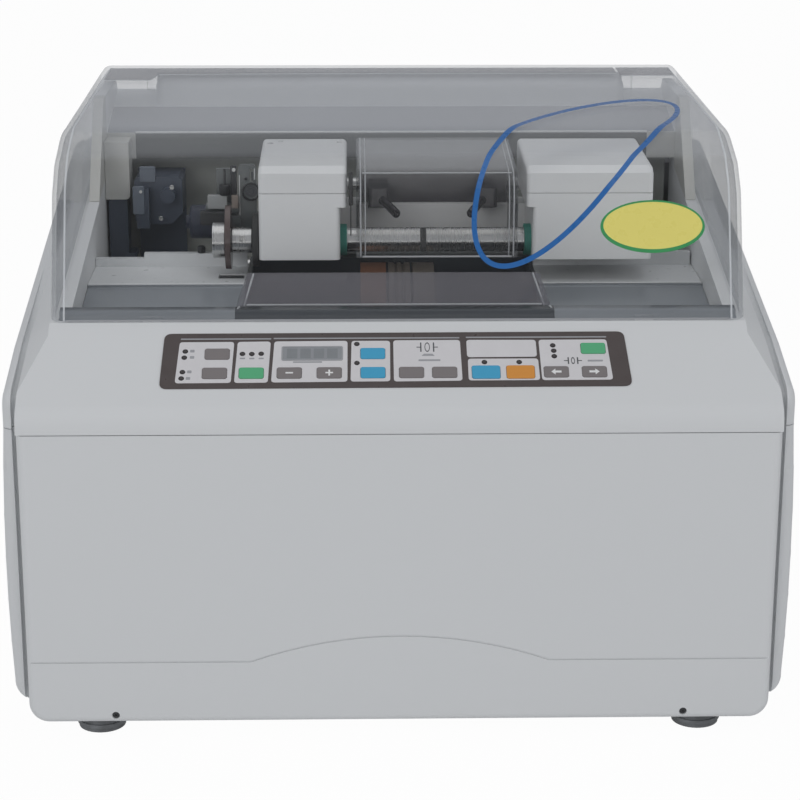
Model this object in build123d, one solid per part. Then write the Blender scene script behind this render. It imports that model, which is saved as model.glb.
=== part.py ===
from build123d import *
import os
from math import acos, atan2, cos, hypot, sin

# Tabletop optical lens edger, in millimetres.
# Modelling axes: X to the right, Y back from the front wall, Z up from the table.
# write_part() moves every piece forward by half the depth, so the origin ends
# on the table in the middle of the footprint.

# ---- layout from front to back ------------------------------------------------
CONSOLE_TOP_Y = 69.0
HOOD_FRONT_Y = CONSOLE_TOP_Y
RIM_SETBACK = 9.0
RIM_FRONT_Y = HOOD_FRONT_Y + RIM_SETBACK
RIM_FRONT_WIDTH = 6.0
OPENING_FRONT_Y = RIM_FRONT_Y + RIM_FRONT_WIDTH
CHAMBER_SETBACK = 14.0
CHAMBER_FRONT_Y = OPENING_FRONT_Y + CHAMBER_SETBACK
LENS_REACH = 107.0            # chamber's front wall to the lens axis
LENS_Y = CHAMBER_FRONT_Y + LENS_REACH
RAIL_SETBACK = 80.0
RAIL_FRONT_Y = LENS_Y + RAIL_SETBACK
RAIL_PITCH = 60.0
RAIL_BACK_Y = RAIL_FRONT_Y + RAIL_PITCH
PIVOT_Y = RAIL_FRONT_Y + RAIL_PITCH / 2
CARRIAGE_EDGE = 13.0
CARRIAGE_FRONT_Y = RAIL_FRONT_Y - CARRIAGE_EDGE
CARRIAGE_BACK_Y = RAIL_BACK_Y + CARRIAGE_EDGE
CARRIAGE_ROOM = 14.0
OPENING_BACK_Y = CARRIAGE_BACK_Y + CARRIAGE_ROOM
WELL_UNDERCUT = 27.0          # how far the well reaches under the rear housing
COVER_FRONT_Y = OPENING_BACK_Y - WELL_UNDERCUT
COVER_DEPTH = 95.0
COVER_BACK_Y = COVER_FRONT_Y + COVER_DEPTH
COVER_SETBACK = 5.0           # rear housing inside the hood's tail
HOOD_BACK_Y = COVER_BACK_Y + COVER_SETBACK
HOOD_BACK_SETBACK = 25.0
DEPTH = HOOD_BACK_Y + HOOD_BACK_SETBACK

# ---- casing -----------------------------------------------------------------
WALL = 3.0                    # moulded wall
FIT_GAP = 0.3                 # between neighbouring mouldings
CHEEK_SEAM_HALF = 270.0       # half width over the cheeks at the casing seam
CHEEK_SWELL = 3.0             # how far the cheeks bulge beyond the seam
CHEEK_HALF = CHEEK_SEAM_HALF + CHEEK_SWELL
CHEEK_STEP = 11.0             # cheek outside the front wall
FRONT_HALF = CHEEK_SEAM_HALF - CHEEK_STEP
CHEEK_BULGE_Z = 118.0
CHEEK_SETBACK = 15.0          # cheek front behind the front wall
CHEEK_BOTTOM_Z = 20.0
CHEEK_CORNER = 15.0
GROOVE_WIDTH = 4.5
GROOVE_DEPTH = 7.0
GROOVE_END_Y = 215.0          # where the groove runs out beside the hood
FRONT_BOTTOM_Z = 11.5
FRONT_CORNER = 14.0
FRONT_EDGE = 5.0
CHEEK_EDGE = 8.0
SEAM_Z = 222.7
SEAM_GAP = 0.6
LIP = 8.0                     # inward lip under the lower casing
ARCH_Z = 57.5                 # parting line across the front wall
ARCH_RISE = 18.5
ARCH_HALF = 103.5
ARCH_LINE = 1.1
ARCH_LINE_DEPTH = 0.9
CASING_SCREW_X = 198.5
CASING_SCREW_RISE = 6.0
CASING_SCREW_HOLE = 2.7

# ---- console and shoulders --------------------------------------------------
CONSOLE_FOOT_Z = 235.6        # console slope carried forward to the front wall
CONSOLE_TOP_Z = 282.6
NOSE_RADIUS = 18.0
SHOULDER_SLOPE = 0.185        # rise of the shoulders towards the back
CHEEK_FRONT_Z = 243.0         # cheek top carried forward to the front wall
CHEEK_BREAK_Y = 85.0
CHEEK_BREAK_Z = 266.0
FACET_INSET = 17.0            # width of the 45 degree facet beside the hood
PANEL_X = -3.0
PANEL_HEIGHT = 47.5
PANEL_CORNER = 5.0
PANEL_THICKNESS = 2.0
PANEL_PROUD = 0.6
PANEL_UP = 40.35              # panel centre behind the front wall

# ---- keys: centre along the console, centre up the console ------------------
KEY_WIDTH = 16.8
KEY_HEIGHT = 9.6
KEY_CORNER = 1.6
KEY_THICKNESS = 1.4
KEY_PROUD = 0.4               # also the travel of the key
KEY_GAP = 0.2
WIDE_KEY_WIDTH = 19.2
WIDE_KEY_HEIGHT = 11.4
LOW_ROW = -11.6
HIGH_ROW = 5.4
KEYS = {
    "key_mode": (-121.9, HIGH_ROW),
    "key_shape": (-123.2, LOW_ROW),
    "key_set": (-98.2, LOW_ROW),
    "key_minus": (-72.3, LOW_ROW),
    "key_plus": (-45.1, LOW_ROW),
    "key_test": (-15.3, HIGH_ROW),
    "key_water": (-15.3, LOW_ROW),
    "key_guide": (11.0, LOW_ROW),
    "key_polish": (33.6, LOW_ROW),
    "key_start": (61.9, LOW_ROW),
    "key_stop": (85.5, LOW_ROW),
    "key_chuck": (136.4, HIGH_ROW + 3.8),
    "key_left": (109.9, LOW_ROW),
    "key_right": (136.0, LOW_ROW),
}
WIDE_KEYS = ("key_start", "key_stop")
PANEL_MARGIN = 13.7           # panel's end beyond the outermost key
PANEL_WIDTH = 2 * (max(abs(x) for x, y in KEYS.values()) + KEY_WIDTH / 2 + PANEL_MARGIN)

# ---- hood -------------------------------------------------------------------
HOOD_HALF = FRONT_HALF - FACET_INSET
HOOD_WALL = 3.0
HOOD_HEIGHT = 122.4           # above the console's top edge
HOOD_TOP_Z = CONSOLE_TOP_Z + HOOD_HEIGHT
HOOD_BROW_Y = 104.5
HOOD_BROW_DROP = 35.5         # below the hood's top
HOOD_CREST_Y = 125.0
HOOD_CREST_DROP = 16.5
HOOD_FLAT_Y = 165.0
HOOD_FLAT_DROP = 3.5
HOOD_BROW_RADIUS = 22.0
HOOD_FLAT_RADIUS = 60.0
HOOD_EDGE = 9.0
HOOD_TAIL_RADIUS = 16.0        # lets the side walls swing clear of the shoulders
HOOD_SEAT_GAP = 0.4
HOOD_NOTCH_X = 171.0
HOOD_NOTCH_WIDTH = 13.0
HOOD_NOTCH_HEIGHT = 3.5
HINGE_SETBACK = 13.0
HINGE_DROP = 11.3
HINGE_Y = HOOD_BACK_Y - HINGE_SETBACK
HINGE_Z = HOOD_TOP_Z - HINGE_DROP
BARREL_RADIUS = 7.3
BARREL_INSET = 49.0           # hinge barrel's end inside the hood's side
BARREL_HALF = HOOD_HALF - BARREL_INSET
HINGE_PIN_RADIUS = 3.0
HINGE_PIN_DEPTH = 14.0
LUG_WIDTH = 9.0
LUG_RADIUS = BARREL_RADIUS
POD_DEPTH = 31.0              # long moulding around the hinge, ahead of the pins
POD_FRONT_Y = HINGE_Y - POD_DEPTH
POD_ROUND = 10.0
RUN_GAP = 0.05                # radial clearance of a running fit

# ---- opening, rim and carriage well -----------------------------------------
RIM_CLEARANCE = 3.0
RIM_OUTER_HALF = HOOD_HALF - HOOD_WALL - RIM_CLEARANCE
RIM_WIDTH = 8.0
OPENING_HALF = RIM_OUTER_HALF - RIM_WIDTH
RIM_HEIGHT = 3.4
WELL_WALL_BOTTOM_Z = 216.0
COVER_LIP_Z = 345.0
COVER_FRONT_DROP = 39.0       # housing's front edge below the hood's top
COVER_FRONT_Z = HOOD_TOP_Z - COVER_FRONT_DROP
COVER_BACK_DROP = 18.8
COVER_BACK_Z = HOOD_TOP_Z - COVER_BACK_DROP
FENCE_REACH = 69.0            # side cheeks of the housing, forward along the well
FENCE_FOOT_Y = COVER_FRONT_Y - FENCE_REACH
FENCE_TOP_REACH = 14.0
FENCE_TOP_Y = COVER_FRONT_Y - FENCE_TOP_REACH
FENCE_DROP = 9.0
FENCE_TOP_Z = HOOD_TOP_Z - FENCE_DROP
LINER = 2.0

# ---- deck and tray ----------------------------------------------------------
DECK_Z = 283.0
DECK_THICKNESS = 4.0
DECK_FRONT_REACH = 27.0       # ahead of the lens axis
DECK_FRONT_Y = LENS_Y - DECK_FRONT_REACH
DECK_BACK_SETBACK = 35.0
DECK_BACK_Y = LENS_Y + DECK_BACK_SETBACK
DECK_RAIL_HEIGHT = 10.0
DECK_RAIL_DEPTH = 6.0
DECK_LEDGE_HEIGHT = 6.0
TRAY_BACK_Z = 281.0
TRAY_FRONT_Z = 267.0
TRAY_THICKNESS = 3.0
SLOT_GAP = 0.8
RAIL_INSET = 37.0
BASE_HALF = FRONT_HALF - 23.0

# ---- chamber and wheels -----------------------------------------------------
CHAMBER_LEFT_X = -108.0
CHAMBER_RIGHT_X = 103.0
CHAMBER_BOTTOM_Z = 184.0
CHAMBER_WALL = 3.0
WINDOW_WALL = 2.5
WINDOW_LIP = 3.0
WINDOW_OVERLAP = 7.0
WINDOW_DRAFT = 0.36            # lean of the sides towards the middle, per height
WINDOW_FOLD_Y = 100.0
WINDOW_FOLD_Z = 287.0
WINDOW_TOP_Y = 140.0
WINDOW_TOP_Z = 300.5
LENS_Z = 310.0
WHEEL_RADIUS = 50.0
CHAMBER_BACK_GAP = 7.0
CHAMBER_BACK_Y = LENS_Y + WHEEL_RADIUS + CHAMBER_BACK_GAP
WHEEL_GAP_BELOW_SHAFT = 10.0
SHAFT_RADIUS = 9.0
SPINDLE_RADIUS = 8.0
ROUGH_WHEEL_LEFT_X = -26.0
ROUGH_WHEEL_WIDTH = 19.0
FINE_WHEEL_WIDTH = 16.0
WHEEL_SPACER = 2.0
BEVEL_DEPTH = 1.6
PULLEY_X = -150.0
PULLEY_WIDTH = 14.0
SPINDLE_PULLEY_RADIUS = 20.0
MOTOR_PULLEY_RADIUS = 30.0
BELT_THICKNESS = 2.2
MOTOR_Z = 100.0
MOTOR_RADIUS = 52.0
MOTOR_LENGTH = 150.0
HOUSING_HALF = 21.0
BOARD_SETBACK = 66.0          # from the side of the base
BOARD_LENGTH = 130.0
BOARD_X = BASE_HALF - BOARD_SETBACK - BOARD_LENGTH
BOARD_Y = 60.0
BOARD_DEPTH = 90.0
BOARD_RISE = 10.0

# ---- chassis ----------------------------------------------------------------
BASE_THICKNESS = 2.0
BASE_FLANGE = 16.0
FOOT_RADIUS = 17.5
FOOT_X = BASE_HALF - 25.0
FOOT_FRONT_Y = 26.0
FOOT_BACK_Y = DEPTH - 40.0
BED_HALF = OPENING_HALF - 4.0
BED_TOP_Z = 212.0
BED_THICKNESS = 8.0
BED_FRONT_Y = 90.0
SIDE_FRAME_X = BED_HALF - 24.0
SIDE_FRAME_THICKNESS = 5.0
RAIL_RADIUS = 8.0
RAIL_Z = 256.0
RAIL_BLOCK_WIDTH = 14.0
RAIL_BLOCK_X = BED_HALF - RAIL_BLOCK_WIDTH - 5.0

# ---- rear panel and power inlet ----------------------------------------------
PANEL_BACK_Y = DEPTH - 3.5
LOUVRE_X = -110.0
LOUVRE_Z = 70.0
LOUVRE_COUNT = 8
LOUVRE_PITCH = 12.0
LOUVRE_LENGTH = 130.0
LOUVRE_HEIGHT = 4.0
INLET_SETBACK = 105.0
INLET_X = CHEEK_SEAM_HALF - INLET_SETBACK
INLET_Z = 70.0
INLET_WIDTH = 62.0
INLET_HEIGHT = 27.0
INLET_FLANGE = 3.0
INLET_DEPTH = 26.0
SOCKET_WIDTH = 24.0
SOCKET_HEIGHT = 17.0
ROCKER_WIDTH = 13.0
ROCKER_HEIGHT = 19.0
ROCKER_PIVOT_RADIUS = 1.5
ROCKER_SINK = 4.0
SOCKET_X = -12.0
ROCKER_X = 19.0

# ---- carriage and head ------------------------------------------------------
CARRIAGE_LEFT_X = -92.0
CARRIAGE_RIGHT_X = 150.0
CARRIAGE_BOTTOM_Z = 243.0
CARRIAGE_TOP_Z = 270.0
PIVOT_Z = 300.0
PIVOT_RADIUS = 7.0
PIVOT_BOSS_RADIUS = 15.0
EAR_THICKNESS = 12.0
EAR_GAP = 1.5
HEAD_FRONT_REACH = 22.0       # ahead of the lens axis
HEAD_FRONT_Y = LENS_Y - HEAD_FRONT_REACH
HEAD_BACK_REACH = 27.0        # ahead of the pivot
HEAD_BACK_Y = PIVOT_Y - HEAD_BACK_REACH
HEAD_BOTTOM_Z = 299.5
HEAD_SEAM_Z = 349.5
HEAD_CREASE_Z = 364.5
HEAD_TOP_Z = 371.0
HEAD_EDGE = 3.5
LEFT_COVER = (-101.0, -36.0)
RIGHT_COVER = (96.5, 190.0)
COVER_WALL = 2.5
COVER_STEP = 5.0               # the sides by the lens step back below this height
COVER_STEP_Z = 339.0
BEAM_FRONT_REACH = 53.0       # ahead of the pivot
BEAM_FRONT_Y = PIVOT_Y - BEAM_FRONT_REACH
BEAM_BACK_REACH = 11.0
BEAM_BACK_Y = PIVOT_Y - BEAM_BACK_REACH
BEAM_TOP_Z = 325.0
ARM_PLATE = 8.0
ARM_FRONT_REACH = 15.0
ARM_FRONT_Y = LENS_Y - ARM_FRONT_REACH
ARM_TOP_Z = 346.0
RIGHT_ARM_X = (118.0, 176.0)
GUARD_LEFT_X = -29.0
GUARD_RIGHT_X = 90.0
GUARD_WALL = 2.0
GUARD_FRONT_REACH = 30.0
GUARD_FRONT_Y = LENS_Y - GUARD_FRONT_REACH
GUARD_BOTTOM_Z = 303.0
GUARD_CORNER_Z = 362.0
GUARD_TOP_Z = 372.0
GUARD_CORNER = 20.0
GUARD_EDGE = 3.0
SCREEN_THICKNESS = 1.8
SCREEN_TOP_Z = 363.5
NOZZLE_LEFT_X = -12.0
NOZZLE_RIGHT_X = 71.0
NOZZLE_REACH = 6.0
NOZZLE_Y = BEAM_FRONT_Y - NOZZLE_REACH
NOZZLE_RADIUS = 2.6

# ---- lens shafts ------------------------------------------------------------
JOURNAL_RADIUS = 6.0
PAD_X = 19.0
PAD_THICKNESS = 4.2
CHUCK_GAP = 0.3
RIGHT_STEP_X = 100.0
RIGHT_SHAFT_END_X = 160.0
YOKE_X = 148.0
YOKE_THICKNESS = 8.0
YOKE_GUIDE_SETBACK = 41.0
YOKE_GUIDE_Y = LENS_Y + YOKE_GUIDE_SETBACK
YOKE_GUIDE_Z = 322.0
YOKE_GUIDE_RADIUS = 4.0
SYNC_SETBACK = 14.0
SYNC_Y = BEAM_FRONT_Y + SYNC_SETBACK
SYNC_Z = 338.0
SYNC_RADIUS = 5.0
LENS_PULLEY_RADIUS = 8.0
LENS_PULLEY_WIDTH = 10.0
LENS_BELT_THICKNESS = 1.6
LEFT_PULLEY_X = -75.0
RIGHT_PULLEY_X = 132.0
FORMER_X = -126.5
FORMER_THICKNESS = 4.2
FORMER_HALF_HEIGHT = 24.1
FORMER_HALF_WIDTH = 20.0
FORMER_OFFSET = 2.2
COLLAR_RADIUS = 9.6
COLLAR_LEFT_X = -122.0
COLLAR_LENGTH = 15.3
CAP_RADIUS = 13.2
CAP_LENGTH = 9.7
SEAL_RADIUS = 11.8
SEAL_THICKNESS = 5.0
REST_LEFT_X = -131.3
REST_WIDTH = 17.6
REST_FRONT_REACH = 9.6
REST_FRONT_Y = LENS_Y - REST_FRONT_REACH
REST_LENGTH = 11.0
REST_TRAVEL = 8.0
REST_STEM_SETBACK = 17.0
REST_STEM_Y = LENS_Y + REST_STEM_SETBACK
REST_STEM_RADIUS = 4.0
REST_STEM_LENGTH = 26.0
REST_SHOE_DEPTH = 8.0

# ---- other parts on the left of the head --------------------------------------
GAUGE_LEFT_X = -118.0
GAUGE_WIDTH = 13.5
GAUGE_SETBACK = 35.0
GAUGE_Y = LENS_Y + GAUGE_SETBACK
GAUGE_TOP_Z = 361.0
GAUGE_BAR_Z = 302.0
GAUGE_BAR_HEIGHT = 20.0
GAUGE_BAR_LEFT_X = -139.0
SIZE_MOTOR_RADIUS = 13.0
SIZE_MOTOR_LENGTH = 17.0
SIZE_MOTOR_SETBACK = 46.0
SIZE_MOTOR_Y = LENS_Y + SIZE_MOTOR_SETBACK
SIZE_MOTOR_Z = 314.0
TRAVERSE_X = -RAIL_BLOCK_X
TRAVERSE_SIZE = 38.0
TRAVERSE_REACH = 25.0
TRAVERSE_Y = RAIL_BACK_Y - TRAVERSE_REACH
TRAVERSE_Z = 297.0
POST_LEFT_X = 2.0 - OPENING_HALF
POST_WIDTH = 15.0
POST_REACH = 23.0
POST_FRONT_Y = RAIL_BACK_Y - POST_REACH
POST_DEPTH = 20.0
POST_TOP_Z = 317.0
POST_COVER_TOP_Z = 363.0

# ---- worked out -------------------------------------------------------------
CONSOLE_RISE = (CONSOLE_TOP_Z - CONSOLE_FOOT_Z) / CONSOLE_TOP_Y
CONSOLE_ANGLE = atan2(CONSOLE_TOP_Z - CONSOLE_FOOT_Z, CONSOLE_TOP_Y)
CONSOLE = Plane(
    origin=(PANEL_X, PANEL_UP, CONSOLE_FOOT_Z + PANEL_UP * CONSOLE_RISE),
    x_dir=(1, 0, 0),
    z_dir=(0, -sin(CONSOLE_ANGLE), cos(CONSOLE_ANGLE)),
)
WHEEL_Z = LENS_Z - SHAFT_RADIUS - WHEEL_GAP_BELOW_SHAFT - WHEEL_RADIUS
BASE_Z = FRONT_BOTTOM_Z + WALL


def seat_z(y):
    """Height of the shoulder that the hood sits on, at a distance behind the front."""
    return CONSOLE_TOP_Z + SHOULDER_SLOPE * (y - CONSOLE_TOP_Y)


def cheek_top_z(y):
    """Height of the cheek's top edge behind its break."""
    return CHEEK_BREAK_Z + SHOULDER_SLOPE * (y - CHEEK_BREAK_Y)


# ---- helpers ----------------------------------------------------------------
def outline(*points):
    """Closed straight-sided sketch."""
    return make_face(Polyline(*points, close=True))


def round_at(sketch, corner, radius):
    """Round the sketch's corner that is nearest to the given point."""
    nearest = sketch.vertices().sort_by_distance(Vector(*corner))[0]
    return fillet(nearest, radius)


def side_prism(profile, x_low, x_high):
    """Extrude a sketch drawn in Y and Z across X."""
    return extrude(Plane.YZ.offset(x_low) * profile, amount=x_high - x_low)


def front_prism(profile, y_low, y_high):
    """Extrude a sketch drawn in X and Z back along Y."""
    return extrude(Plane.XZ.offset(-y_low) * profile, amount=y_low - y_high)


def plan_prism(profile, z_low, z_high):
    """Extrude a sketch drawn in X and Y up along Z."""
    return extrude(Plane.XY.offset(z_low) * profile, amount=z_high - z_low)


def block(x_low, x_high, y_low, y_high, z_low, z_high):
    """Rectangular solid between its limits."""
    size = (x_high - x_low, y_high - y_low, z_high - z_low)
    centre = ((x_low + x_high) / 2, (y_low + y_high) / 2, (z_low + z_high) / 2)
    return Pos(*centre) * Box(*size)


def rod_x(radius, x_low, x_high, y, z):
    """Round bar along X."""
    bar = Cylinder(radius, x_high - x_low, rotation=(0, 90, 0))
    return Pos((x_low + x_high) / 2, y, z) * bar


def rod_y(radius, y_low, y_high, x, z):
    """Round bar along Y."""
    bar = Cylinder(radius, y_high - y_low, rotation=(90, 0, 0))
    return Pos(x, (y_low + y_high) / 2, z) * bar


def rod_z(radius, z_low, z_high, x, y):
    """Round bar along Z."""
    return Pos(x, y, (z_low + z_high) / 2) * Cylinder(radius, z_high - z_low)


def write_part(name, shape):
    """Move a piece into the part's frame and write it as one STEP file."""
    placed = Pos(0, -DEPTH / 2, 0) * shape
    export_step(placed, f"parts/{name}.step")


# ---- casing mouldings -------------------------------------------------------
def front_outline(inset):
    """Front wall seen from the front, with its rounded lower corners."""
    half = FRONT_HALF - inset
    low = FRONT_BOTTOM_Z + inset
    shape = outline((-half, low), (half, low), (half, SEAM_Z), (-half, SEAM_Z))
    for side in (-1, 1):
        shape = round_at(shape, (side * half, low), FRONT_CORNER - inset)
    return shape


def cheek_outline(inset):
    """Both cheeks seen from the front: bulged sides and rounded lower corners."""
    low = CHEEK_BOTTOM_Z + inset
    corner = (CHEEK_HALF - inset - WALL, low)
    bulge = (CHEEK_HALF - inset, CHEEK_BULGE_Z)
    seam = (CHEEK_SEAM_HALF - inset, SEAM_Z)
    half = make_face(
        [
            Line((0, low), corner),
            ThreePointArc(corner, bulge, seam),
            Line(seam, (0, SEAM_Z)),
            Line((0, SEAM_Z), (0, low)),
        ]
    )
    half = round_at(half, corner, CHEEK_CORNER - inset)
    return half + mirror(half, about=Plane.YZ)


def below_arch(lift):
    """Area of the front wall under its parting line."""
    z = ARCH_Z + lift
    end = FRONT_HALF + WALL
    return make_face(
        [
            Line((-end, 0), (-end, z)),
            Line((-end, z), (-ARCH_HALF, z)),
            ThreePointArc((-ARCH_HALF, z), (0, z + ARCH_RISE), (ARCH_HALF, z)),
            Line((ARCH_HALF, z), (end, z)),
            Line((end, z), (end, 0)),
            Line((end, 0), (-end, 0)),
        ]
    )


def lower_casing():
    """Open-backed tub: front wall, cheeks, corner grooves and an inward lip."""
    inner_y = CHEEK_SETBACK + GROOVE_DEPTH + WALL
    front = front_prism(front_outline(0), 0, inner_y)
    front_edges = front.edges().filter_by_position(Axis.Y, -0.1, 0.1).sort_by(Axis.Z)[:-1]
    front = fillet(front_edges, FRONT_EDGE)
    cheeks = front_prism(cheek_outline(0), CHEEK_SETBACK, DEPTH)
    cheek_edges = cheeks.edges().filter_by_position(Axis.Y, CHEEK_SETBACK - 0.1, CHEEK_SETBACK + 0.1)
    cheeks = fillet([e for e in cheek_edges if abs(e.center().X) > FRONT_HALF], CHEEK_EDGE)
    shell = front + cheeks
    shell -= front_prism(front_outline(WALL), WALL, inner_y + 1)
    shell -= front_prism(cheek_outline(WALL), inner_y, DEPTH + 1)
    shell -= block(-BASE_HALF, BASE_HALF, LIP, DEPTH + 1, 0, BASE_Z + WALL * 3)
    groove_back = CHEEK_SETBACK + GROOVE_DEPTH
    for side in (-1, 1):
        middle = side * (FRONT_HALF + GROOVE_WIDTH / 2)
        half = GROOVE_WIDTH / 2
        shell -= block(middle - half, middle + half, -1, groove_back, 0, SEAM_Z + 1)
        hole_z = FRONT_BOTTOM_Z + CASING_SCREW_RISE
        shell -= rod_y(CASING_SCREW_HOLE, -1, WALL + 1, side * CASING_SCREW_X, hole_z)
    line = below_arch(ARCH_LINE / 2) - below_arch(-ARCH_LINE / 2)
    shell -= front_prism(line, -1, ARCH_LINE_DEPTH)
    shell -= block(-CHEEK_HALF, CHEEK_HALF, -1, DEPTH + 1, SEAM_Z - SEAM_GAP / 2, SEAM_Z + 1)
    return shell


def main_profile(inset, low):
    """Console, nose and shoulder seen from the side."""
    console_drop = inset / cos(CONSOLE_ANGLE)
    seat_drop = inset * hypot(1, SHOULDER_SLOPE)
    foot_z = CONSOLE_FOOT_Z + CONSOLE_RISE * inset - console_drop
    break_rise = seat_z(0) - seat_drop - CONSOLE_FOOT_Z + console_drop
    break_y = break_rise / (CONSOLE_RISE - SHOULDER_SLOPE)
    back = DEPTH - inset
    shape = outline(
        (inset, low),
        (inset, foot_z),
        (break_y, seat_z(break_y) - seat_drop),
        (back, seat_z(back) - seat_drop),
        (back, low),
    )
    shape = round_at(shape, (inset, foot_z), NOSE_RADIUS - inset)
    return round_at(shape, (back, seat_z(back) - seat_drop), CHEEK_EDGE)


def roof_section(y, inset):
    """Cross-section that gives the console and shoulders their side facets."""
    if y < CHEEK_BREAK_Y:
        front_slope = (CHEEK_BREAK_Z - CHEEK_FRONT_Z) / CHEEK_BREAK_Y
        edge = CHEEK_FRONT_Z + front_slope * y
    else:
        edge = cheek_top_z(y)
    half = FRONT_HALF - inset
    edge -= inset * (2**0.5 - 1)
    inner = half - FACET_INSET
    low = SEAM_Z - WELL_WALL_BOTTOM_Z
    high = HOOD_TOP_Z
    section = outline(
        (-half, low),
        (-half, edge),
        (-inner, edge + FACET_INSET),
        (-inner, high),
        (inner, high),
        (inner, edge + FACET_INSET),
        (half, edge),
        (half, low),
    )
    return Plane.XZ.offset(-y) * section


def roof(inset):
    """Block under the facets, to trim the console and shoulders with."""
    stations = (-1.0, CHEEK_BREAK_Y, DEPTH + 1.0)
    return loft([roof_section(y, inset) for y in stations], ruled=True)


def cheek_profile(inset, low):
    """Upper part of a cheek seen from the side."""
    front = CHEEK_SETBACK + inset
    front_slope = (CHEEK_BREAK_Z - CHEEK_FRONT_Z) / CHEEK_BREAK_Y
    front_z = CHEEK_FRONT_Z + front_slope * front - inset
    back = DEPTH - min(inset, WALL)
    shape = outline(
        (front, low),
        (front, front_z),
        (CHEEK_BREAK_Y, CHEEK_BREAK_Z - inset),
        (back, cheek_top_z(back) - inset),
        (back, low),
    )
    return round_at(shape, (front, front_z), FRONT_CORNER - inset / 2)


def upper_casing():
    """Console, shoulders, rim and the walls of the well, in one moulding."""
    low = SEAM_Z + SEAM_GAP / 2
    main = side_prism(main_profile(0, low), -FRONT_HALF, FRONT_HALF) & roof(0)
    cheeks = side_prism(cheek_profile(0, low), -CHEEK_SEAM_HALF, CHEEK_SEAM_HALF)
    rounded = cheeks.edges().filter_by_position(Axis.Z, low + 0.5, HOOD_TOP_Z)
    rounded = [e for e in rounded if abs(e.center().X) > CHEEK_SEAM_HALF - 0.1]
    cheeks = fillet(rounded, CHEEK_EDGE)
    shell = main + cheeks
    inside = FRONT_HALF - WALL
    shell -= side_prism(main_profile(WALL, low - 1), -inside, inside) & roof(WALL)
    inside = CHEEK_SEAM_HALF - WALL
    shell -= side_prism(cheek_profile(GROOVE_DEPTH + WALL, low - 1), -inside, inside)
    shell += rim()
    shell += well_walls()
    shell -= block(-OPENING_HALF, OPENING_HALF, OPENING_FRONT_Y, OPENING_BACK_Y, 0, HOOD_TOP_Z)
    for side in (-1, 1):
        shell -= groove_cut(side)
    shell -= panel_pocket()
    shell -= rear_window(low - 1)
    return shell


def rim():
    """Upstand inside the hood's lower edge."""
    strip = outline(
        (RIM_FRONT_Y, seat_z(RIM_FRONT_Y) - WALL),
        (RIM_FRONT_Y, seat_z(RIM_FRONT_Y) + RIM_HEIGHT),
        (COVER_FRONT_Y, seat_z(COVER_FRONT_Y) + RIM_HEIGHT),
        (COVER_FRONT_Y, seat_z(COVER_FRONT_Y) - WALL),
    )
    return side_prism(strip, -RIM_OUTER_HALF, RIM_OUTER_HALF)


def well_walls():
    """Walls that hang from the rim around the opening."""
    half = OPENING_HALF + WALL
    front = OPENING_FRONT_Y - WALL
    walls = block(-half, half, front, OPENING_BACK_Y, WELL_WALL_BOTTOM_Z, HOOD_TOP_Z)
    return walls & side_prism(main_profile(WALL / 2, WELL_WALL_BOTTOM_Z), -half, half)


def groove_cut(side):
    """Groove between console and cheek, running out beside the hood."""
    back = CHEEK_SETBACK + GROOVE_DEPTH
    front_slope = (CHEEK_BREAK_Z - CHEEK_FRONT_Z) / CHEEK_BREAK_Y
    corner_z = CHEEK_FRONT_Z + front_slope * back - GROOVE_DEPTH
    floor = outline(
        (back, SEAM_Z - 1),
        (back, corner_z),
        (CHEEK_BREAK_Y, CHEEK_BREAK_Z - GROOVE_DEPTH / 2),
        (GROOVE_END_Y, cheek_top_z(GROOVE_END_Y)),
        (GROOVE_END_Y, HOOD_TOP_Z),
        (-1, HOOD_TOP_Z),
        (-1, SEAM_Z - 1),
    )
    floor = round_at(floor, (back, corner_z), GROOVE_DEPTH)
    inner = side * FRONT_HALF
    outer = side * (FRONT_HALF + GROOVE_WIDTH)
    return side_prism(floor, min(inner, outer), max(inner, outer))


def panel_pocket():
    """Shallow recess that the control panel lies in."""
    depth = PANEL_THICKNESS - PANEL_PROUD
    area = RectangleRounded(PANEL_WIDTH + FIT_GAP, PANEL_HEIGHT + FIT_GAP, PANEL_CORNER)
    return extrude(CONSOLE.offset(-depth) * area, amount=depth + WALL)


def rear_window(low):
    """Opening in the back of the upper casing, closed by the rear panel."""
    half = CHEEK_SEAM_HALF - WALL * 5
    high = cheek_top_z(DEPTH) - WALL * 7
    return block(-half, half, DEPTH - WALL * 2, DEPTH + 1, low, high)


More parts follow.
